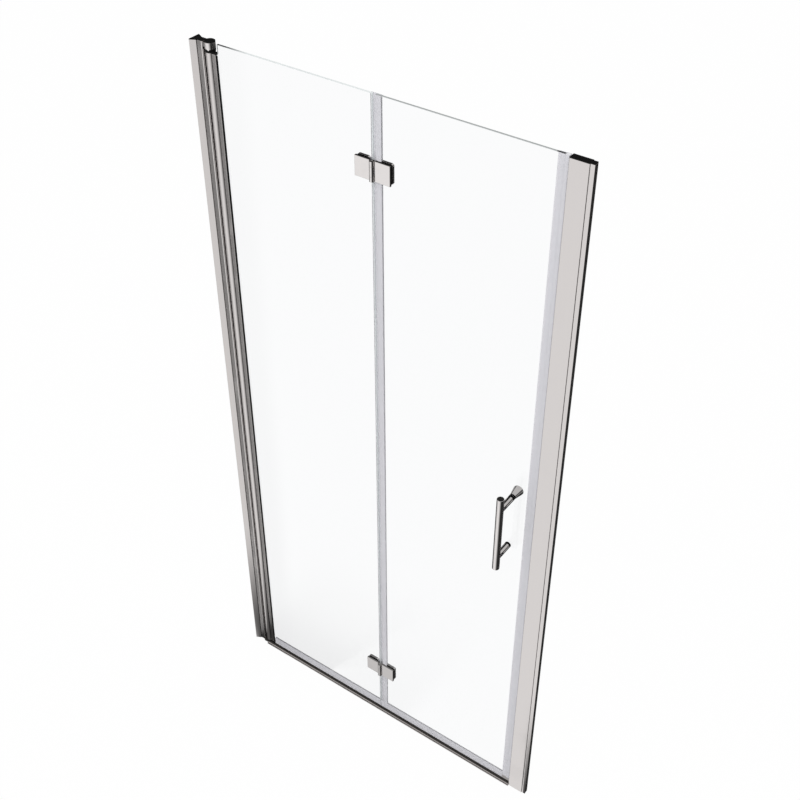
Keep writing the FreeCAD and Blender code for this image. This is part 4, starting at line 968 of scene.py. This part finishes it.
class SHOWER_DOOR_OT_seals(bpy.types.Operator):
    """Build the bottom seals, the fold seal, the closing seal and the magnet strips"""

    bl_idname = "shower_door.seals"
    bl_label = "Seals"

    def execute(self, context):
        seals = context.scene.shower_door.seals
        self.bottom_seal(seals, "pivot_drip_seal", "pivot_bottom_seal", PIVOT_LEAF, "pivot_glass")
        self.bottom_seal(seals, "folding_drip_seal", "folding_bottom_seal", FOLDING_LEAF, "folding_glass")
        self.fold_seal(seals)
        self.closing_seal(seals)
        self.magnet(seals, "leaf_magnet_strip", "leaf_magnet", FOLDING_LEAF)
        self.magnet(seals, "strike_magnet_strip", "strike_magnet", FRAME)
        return {"FINISHED"}

    def bottom_seal(self, seals, name, node, body, pane):
        """The section is a U on the lower glass edge, with a long front lip and a fin, carried along X."""
        low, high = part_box(node)
        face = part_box(pane)[1].y + seals.fit
        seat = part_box(pane)[0].z - seals.fit
        base = seat - seals.wall
        fin = seals.fin_place
        fin_low = base - seals.fin_drop
        tip, small, bend = seals.tip, seals.end, seals.bend
        corners = [
            (low.y, low.z, tip),
            (-face, low.z, tip),
            (-face, base, tip),
            (fin, base, tip),
            (fin, fin_low, tip),
            (fin + seals.wall, fin_low, tip),
            (fin + seals.wall, base, tip),
            (high.y, base, bend),
            (high.y, high.z, tip),
            (face, high.z, tip),
            (face, seat, small),
            (-face, seat, small),
            (-face, high.z, tip),
            (low.y, high.z, tip),
        ]
        outline = section(corners)
        loops = [placed(carried(outline, low.x, high.x, small), "YZX")]
        make_piece(name, [loops], body, "clear_seal", node)

    def fold_seal(self, seals):
        """The section is a U on the glass edge with a flat fin behind the other pane, in three lengths.

        Beside the hinges only the web and a narrower fin run on, in the gap between the panes.
        """
        low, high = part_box("fold_seal")
        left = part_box("folding_glass")[0].x
        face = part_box("folding_glass")[1].y + seals.fit
        seat = left - seals.fit
        back = seat - seals.wall
        fin = high.y - seals.wall
        tip, small, bend = seals.tip, seals.end, seals.bend
        corners = [
            (high.x, low.y, tip),
            (high.x, -face, tip),
            (seat, -face, small),
            (seat, face, small),
            (high.x, face, tip),
            (high.x, high.y, tip),
            (low.x, high.y, tip),
            (low.x, fin, tip),
            (back, fin, tip),
            (back, low.y, bend),
        ]
        outline = section(corners)
        gap = low.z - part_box("folding_bottom_seal")[1].z
        plates = [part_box(hinge + "_hinge_fold_plate") for hinge in reversed(HINGES)]
        starts = [low.z] + [plate[1].z + gap for plate in plates]
        ends = [plate[0].z - gap for plate in plates] + [high.z]
        bars = [[carried(outline, start, end, small)] for start, end in zip(starts, ends)]
        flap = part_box(HINGES[0] + "_hinge_pivot_clamp")[1].x + gap
        web = [(back, -face), (seat, -face), (seat, high.y), (flap, high.y), (flap, fin), (back, fin)]
        outline = rounded(web, small)
        bars += [[carried(outline, start, end, small)] for start, end in zip(ends[:-1], starts[1:])]
        make_piece("fold_flap_seal", bars, FOLDING_LEAF, "clear_seal", "fold_seal")

    def closing_seal(self, seals):
        """The section is two legs on the glass and a square tube for the magnet, carried up the edge."""
        low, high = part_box("magnet_seal")
        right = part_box("folding_glass")[1].x
        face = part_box("folding_glass")[1].y + seals.fit
        leg = face + seals.wall
        house = right + seals.fit
        tip, small, bend = seals.tip, seals.end, seals.bend
        corners = [
            (low.x, -leg, tip),
            (house, -leg, tip),
            (house, low.y, bend),
            (high.x, low.y, bend),
            (high.x, high.y, bend),
            (house, high.y, bend),
            (house, leg, tip),
            (low.x, leg, tip),
            (low.x, face, tip),
            (house, face, small),
            (house, -face, small),
            (low.x, -face, tip),
        ]
        outline = section(corners)
        wall = seals.wall
        hollow = rectangle(house + wall, high.x - wall, low.y + wall, high.y - wall)
        hollow = rounded(hollow, tip)[::-1]
        loops = [carried(loop, low.z, high.z, small) for loop in (outline, hollow)]
        make_piece("closing_seal", [loops], FOLDING_LEAF, "clear_seal", "magnet_seal")

    def magnet(self, seals, name, node, body):
        """A flat strip with rounded long edges."""
        low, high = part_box(node)
        corners = rectangle(low.x, high.x, low.y, high.y)
        loops = [carried(rounded(corners, seals.tip), low.z, high.z, seals.end)]
        make_piece(name, [loops], body, "magnet_strip", node)


class SHOWER_DOOR_OT_hinges(bpy.types.Operator):
    """Finish the glass hinges and build their soft pads"""

    bl_idname = "shower_door.hinges"
    bl_label = "Hinges"

    def execute(self, context):
        settings = context.scene.shower_door
        edge = settings.profiles.plate_edge
        for hinge in HINGES:
            for half, body in (("pivot", PIVOT_LEAF), ("fold", FOLDING_LEAF)):
                stem = f"{hinge}_hinge_{half}_"
                dress("chrome", stem + "plate", stem + "clamp", edge=edge)
                dress("steel", stem + "screws")
                self.pads(settings.seals, stem, body)
            dress("steel", f"{hinge}_hinge_pin")
            dress("black_plastic", f"{hinge}_hinge_bush")
        return {"FINISHED"}

    def pads(self, seals, stem, body):
        """Thin slabs with rounded corners: one behind the plate and one in front of the clamp."""
        low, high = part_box(stem + "pads")
        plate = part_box(stem + "plate")
        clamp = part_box(stem + "clamp")
        low.z, high.z = plate[0].z + TOUCH, plate[1].z - TOUCH
        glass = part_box("pivot_glass")[1].y + TOUCH
        bars = []
        for start, end, side, corner in (
            (low.y, -glass, plate, seals.pad_edge),
            (glass, high.y, clamp, seals.pad_corner),
        ):
            left = max(side[0].x, low.x) + TOUCH
            right = min(side[1].x, high.x) - TOUCH
            corners = rectangle(low.z, high.z, left, right)
            rings = carried(rounded(corners, corner), start, end, seals.pad_edge)
            bars.append([placed(rings, "ZXY")])
        make_piece(stem + "glass_pads", bars, body, "black_rubber", stem + "pads")


def round_piece(node):
    """The middle of a round node's box, and its radius by its width."""
    low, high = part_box(node)
    return (low + high) / 2, (high.x - low.x) / 2


class SHOWER_DOOR_OT_handle(bpy.types.Operator):
    """Build the handle bar, its posts, the inner knob and the soft washers"""

    bl_idname = "shower_door.handle"
    bl_label = "Handle"

    def execute(self, context):
        settings = context.scene.shower_door
        handle = settings.handle
        seals = settings.seals
        self.bar(handle)
        for place in ("upper", "lower"):
            self.post(handle, f"handle_{place}_post", f"handle_{place}_stem")
        self.knob(handle)
        front, rear = (face.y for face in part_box("folding_glass"))
        sleeve = (front - handle.sleeve, front - TOUCH)
        washer = (rear + TOUCH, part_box("handle_washers")[1].y)
        self.washers(seals, "handle_soft_washers", "handle_washers", "handle_upper_post", sleeve, washer)
        self.washers(seals, "handle_foot_cushion", "handle_foot_pad", "handle_lower_post", sleeve)
        dress("steel", "handle_studs")
        return {"FINISHED"}

    def bar(self, handle):
        """A rod with rounded rims, turned round its own upright axis."""
        low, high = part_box("handle_bar")
        middle, radius = round_piece("handle_bar")
        rings = turned(rod_profile(low.z, high.z, radius, radius, handle.bar_edge))
        rings = placed(rings, "XYZ", (middle.x, middle.y, 0))
        make_piece("handle_grip", [[rings]], FOLDING_LEAF, "chrome", "handle_bar")

    def post(self, handle, node, name):
        """A round post whose outer end follows the bar.

        The bar's skin is at bar centre + root(bar radius squared - the square of the post's sideways
        place). The first ring lies there, let in by the saddle's depth, and the others lie at the foot,
        drawn in on a quarter circle.
        """
        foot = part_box(node)[1].y
        bar, bar_radius = round_piece("handle_bar")
        middle, radius = round_piece(node)
        depth, inset = quarter(handle.post_edge, ARC_STEPS)
        along = np.concatenate(([0.0], foot - depth[::-1]))
        size = np.concatenate(([radius], radius - inset[::-1]))
        rings = placed(turned(np.stack((along, size), axis=1)), "ZXY", (middle.x, 0, middle.z))
        across = rings[0, :, 0] - middle.x
        rings[0, :, 1] = bar.y + np.sqrt(bar_radius**2 - across**2) - handle.saddle
        make_piece(name, [[rings]], FOLDING_LEAF, "chrome", node)

    def knob(self, handle):
        """A cone that widens away from the glass, with a rounded rim, turned round the stud's axis."""
        low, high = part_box("handle_knob")
        middle, radius = round_piece("handle_knob")
        neck = round_piece("handle_upper_post")[1]
        profile = rod_profile(low.y, high.y, neck, radius, handle.knob_edge)
        rings = placed(turned(profile), "ZXY", (middle.x, 0, middle.z))
        make_piece("handle_inner_knob", [[rings]], FOLDING_LEAF, "chrome", "handle_knob")

    def washers(self, seals, name, node, post, *spans):
        """Rings with rounded rims, a little wider than a post, one for each span along Y."""
        middle, radius = round_piece(post)
        radius += seals.fit
        bars = []
        for start, end in spans:
            rings = turned(rod_profile(start, end, radius, radius, seals.pad_edge))
            bars.append([placed(rings, "ZXY", (middle.x, 0, middle.z))])
        make_piece(name, bars, FOLDING_LEAF, "black_rubber", node)


class SHOWER_DOOR_OT_fasteners(bpy.types.Operator):
    """Finish the small screws of the frame"""

    bl_idname = "shower_door.fasteners"
    bl_label = "Frame screws"

    def execute(self, context):
        dress("steel", "hinge_side_screws", "strike_side_screws", "pivot_block_screws")
        return {"FINISHED"}


# Stage


def degrees(*angles):
    """Angles in degrees, as the radians that nodes take."""
    return tuple(math.radians(angle) for angle in angles)


def hide_from(rays, thing):
    """Hides an object from some kinds of rays."""
    for ray in rays:
        setattr(thing, "visible_" + ray, False)


WHITE = (1.0, 1.0, 1.0, 1.0)
FLOOR_HALF = 30.0
FLOOR_DROP = 0.5 * MM
LAMP_PLACE = Vector((1.2, -2.6, 3.8))
LAMP_AIM = Vector((0.0, 0.0, 1.0))
LAMP_SIZE = 3.0
SENSOR = 36.0
CLIP_END = 200.0

# What mirrors show of the studio, by the way of the mirrored ray: its turn from the front, positive to
# the right, and its rise over the level. Each border runs softly from dark to light.
LEFT_BORDER = degrees(-88, -48)
RIGHT_BORDER = degrees(60, -4)
UPPER_BORDER = degrees(12, 30)
DARK = 0.03
UPPER_GREY = 0.62
# A pale belt round the rear, by the turn to either side, at a rise a little under the level
BELT_TURN = degrees(100, 125)
BELT_RISE = math.radians(-14)
BELT_BORDER = degrees(9, 5)
BELT_GREY = 0.7
# A dark screen at the rear left, above the level, up to a soft border
REAR_SCREEN = math.radians(-147)
REAR_BORDER = degrees(23, 15)
REAR_TOP = degrees(58, 48)
# A narrow dark screen on the floor at the front left
FRONT_SCREEN = math.radians(-45)
FRONT_BORDER = degrees(2.4, 1.2)
FRONT_SHADE = 0.86
# Dark sheets on the floor in front of the pivot, the lower hinge and the strike channel, which only mirrors
# see: painted shade on the floor near the door. Each has its corners from the rear left one round, its
# height, the soft share of its width at the rear (sharp) and what that grows by up to the front (side), the
# soft share of its depth (front), and how much light it takes.
ShadeSheet = namedtuple("ShadeSheet", "corners height sharp side front shade")
SHADE_SHEETS = {
    "studio_pivot_shade_sheet": ShadeSheet(
        corners=((-0.505, 0.0), (-0.22, -0.03), (0.0, -0.52), (-0.80, -0.52)),
        height=0.2 * MM,
        sharp=0.02,
        side=0.5,
        front=0.9,
        shade=0.86,
    ),
    "studio_hinge_shade_sheet": ShadeSheet(
        corners=((-0.24, 0.0), (0.12, 0.0), (0.12, -0.62), (-0.24, -0.62)),
        height=0.4 * MM,
        sharp=0.25,
        side=0.0,
        front=0.8,
        shade=0.30,
    ),
    "studio_strike_shade_sheet": ShadeSheet(
        corners=((0.4955, 0.0), (0.60, 0.0), (0.52, -0.3), (0.3455, -0.3)),
        height=0.2 * MM,
        sharp=0.02,
        side=0.0,
        front=1.0,
        shade=0.9,
    ),
}


class SHOWER_DOOR_OT_stage(bpy.types.Operator):
    """Set up the white floor, the dark sheets of painted shade that mirrors see on it, the soft light, the
    studio in mirrors and the camera
    """

    bl_idname = "shower_door.stage"
    bl_label = "Stage"

    def execute(self, context):
        scene = context.scene
        stage = scene.shower_door.stage
        self.floor(scene, stage)
        # Dark sheets that paint shade on the floor, for mirrors only
        for name, mat in SHADE_SHEETS.items():
            self.mat(scene, name, mat)
        self.world(scene, stage)
        self.lamp(scene, stage)
        self.camera(scene, stage)
        scene.view_settings.view_transform = "Standard"
        return {"FINISHED"}

    def sheet(self, scene, name, corners):
        """A four-sided sheet with a UV map from corner to corner, marked as stage."""
        mesh = bpy.data.meshes.new(name)
        mesh.from_pydata(corners, [], [(0, 1, 2, 3)])
        uv = mesh.uv_layers.new(name="sheet")
        uv.data.foreach_set("uv", (0, 0, 1, 0, 1, 1, 0, 1))
        sheet = bpy.data.objects.new(name, mesh)
        scene.collection.objects.link(sheet)
        material, tree = new_material(name)
        mesh.materials.append(material)
        return sheet, tree

    def seen(self, tree):
        """1 for the rays that show the background itself: camera, mirror and glass rays."""
        kinds = ("Camera", "Glossy", "Transmission")
        rays = [tree.node("ShaderNodeLightPath", output=f"Is {kind} Ray") for kind in kinds]
        return rays[0].most(rays[1]).most(rays[2])

    def from_mirror(self, tree):
        """1 for a ray that a mirror has turned, also once it has gone through glass."""
        mirrors = tree.node("ShaderNodeLightPath", output="Glossy Depth")
        return mirrors.least(1.0) * (1 - tree.node("ShaderNodeLightPath", output="Is Diffuse Ray"))

    def floor(self, scene, stage):
        """A pale floor that shows as white and keeps a faint shadow; mirrors see the studio instead."""
        z = CAD_BOX[0][2] - FLOOR_DROP
        half = FLOOR_HALF
        corners = [(x, y, z) for x, y in rectangle(-half, half, -half, half)]
        tree = self.sheet(scene, "studio_floor", corners)[1]
        lit = tree.node("ShaderNodeBsdfDiffuse", {}, {"Color": shaded(stage.floor, 1.0)})
        white = tree.node("ShaderNodeEmission")
        shader = tree.mixed(self.seen(tree) * stage.floor_white, lit, white)
        clear = tree.node("ShaderNodeBsdfTransparent")
        tree.show(tree.mixed(self.from_mirror(tree), shader, clear))

    def mat(self, scene, name, mat):
        """A dark sheet that only mirror rays see, with soft borders, painting shade on the floor."""
        sheet, tree = self.sheet(scene, name, [corner + (mat.height,) for corner in mat.corners])
        hide_from(("camera", "diffuse", "transmission", "shadow"), sheet)
        u, v = tree.parts("UV", "XY")
        side = tree.band(u.least(1 - u), 0.0, mat.sharp + mat.side * v)
        shape = side * tree.band(1 - v, 0.0, mat.front)
        clear = tree.node("ShaderNodeBsdfTransparent")
        black = tree.node("ShaderNodeEmission", {}, {"Strength": 0.0})
        tree.show(tree.mixed(shape * mat.shade, clear, black))

    def surroundings(self, tree):
        """How bright the studio is along a mirrored ray.

        Under the level the front is white, but for a narrow screen at the left, and the rest dark, but for
        a pale belt round the rear. Above it all is pale, but for a dark screen at the rear left.
        """
        x, y, z = tree.parts("Generated", "XYZ")
        turn = tree.node("ShaderNodeMath", {"operation": "ARCTAN2"}, {0: x, 1: 0 - y})
        rise = tree.node("ShaderNodeMath", {"operation": "ARCSINE"}, {0: z})
        upper = tree.band(rise, *UPPER_BORDER)
        front = tree.band(turn, *LEFT_BORDER) * tree.band(turn, *RIGHT_BORDER)
        narrow = tree.band((turn - FRONT_SCREEN).size(), *FRONT_BORDER)
        rear = tree.band((turn - REAR_SCREEN).size(), *REAR_BORDER) * tree.band(rise, *REAR_TOP)
        belt = tree.band(turn.size(), *BELT_TURN) * tree.band((rise - BELT_RISE).size(), *BELT_BORDER)
        below = (front * (1 - FRONT_SHADE * narrow)).most(belt * BELT_GREY)
        return DARK + (1 - DARK) * (below * (1 - upper) + UPPER_GREY * (1 - rear) * upper)

    def glow(self, tree, strength):
        """A white background of a strength."""
        return tree.node("ShaderNodeBackground", {}, {"Color": WHITE, "Strength": strength})

    def world(self, scene, stage):
        """Plain white behind everything, a softer white as the light, and the studio in mirrors."""
        world = bpy.data.worlds.new("studio_white")
        world.use_nodes = True
        scene.world = world
        tree = Tree(world.node_tree)
        light = tree.mixed(self.seen(tree), self.glow(tree, stage.ambient), self.glow(tree, 1.0))
        studio = self.glow(tree, self.surroundings(tree))
        tree.show(tree.mixed(self.from_mirror(tree), light, studio), "World")

    def lamp(self, scene, stage):
        """One large soft lamp above the camera's side."""
        light = bpy.data.lights.new("soft_lamp", "AREA")
        light.shape = "SQUARE"
        light.size = LAMP_SIZE
        light.energy = stage.lamp
        lamp = bpy.data.objects.new("soft_lamp", light)
        lamp.location = LAMP_PLACE
        lamp.rotation_euler = (LAMP_AIM - LAMP_PLACE).to_track_quat("-Z", "Y").to_euler()
        hide_from(("camera", "glossy", "transmission"), lamp)
        scene.collection.objects.link(lamp)

    def camera(self, scene, stage):
        """The camera of the picture: level, looking down at the door from its right."""
        data = bpy.data.cameras.new("camera")
        data.lens = stage.lens
        data.sensor_width = SENSOR
        data.clip_end = CLIP_END
        camera = bpy.data.objects.new("camera", data)
        camera.location = stage.camera
        camera.rotation_euler = Vector(stage.view).to_track_quat("-Z", "Y").to_euler()
        scene.collection.objects.link(camera)
        scene.camera = camera


OPERATORS = (
    SHOWER_DOOR_OT_profiles,
    SHOWER_DOOR_OT_pivots,
    SHOWER_DOOR_OT_tube,
    SHOWER_DOOR_OT_glass,
    SHOWER_DOOR_OT_seals,
    SHOWER_DOOR_OT_hinges,
    SHOWER_DOOR_OT_handle,
    SHOWER_DOOR_OT_fasteners,
    SHOWER_DOOR_OT_stage,
)


class SHOWER_DOOR_PT_panel(bpy.types.Panel):
    """Settings and steps of the shower door"""

    bl_idname = "SHOWER_DOOR_PT_panel"
    bl_label = "Shower door"
    bl_space_type = "VIEW_3D"
    bl_region_type = "UI"
    bl_category = "Shower door"

    def draw(self, context):
        settings = context.scene.shower_door
        for group in ("profiles", "seals", "handle", "finishes", "stage"):
            box = self.layout.box()
            box.label(text=group.capitalize())
            part = getattr(settings, group)
            for name in part.__annotations__:
                box.prop(part, name)
        for operator in OPERATORS:
            self.layout.operator(operator.bl_idname)


GROUPS = (
    ShowerDoorProfiles,
    ShowerDoorSeals,
    ShowerDoorHandle,
    ShowerDoorFinishes,
    ShowerDoorStage,
    ShowerDoorSettings,
)
CLASSES = GROUPS + OPERATORS + (SHOWER_DOOR_PT_panel,)


def register():
    """Adds the classes and the door's settings on the scene."""
    for part in CLASSES:
        bpy.utils.register_class(part)
    bpy.types.Scene.shower_door = PointerProperty(type=ShowerDoorSettings)


def unregister():
    """Takes the settings and the classes away again."""
    del bpy.types.Scene.shower_door
    for part in reversed(CLASSES):
        bpy.utils.unregister_class(part)


def main():
    """Builds the door and the stage."""
    register()
    for operator in OPERATORS:
        family, step = operator.bl_idname.split(".")
        getattr(getattr(bpy.ops, family), step)()


if __name__ == "__main__":
    main()
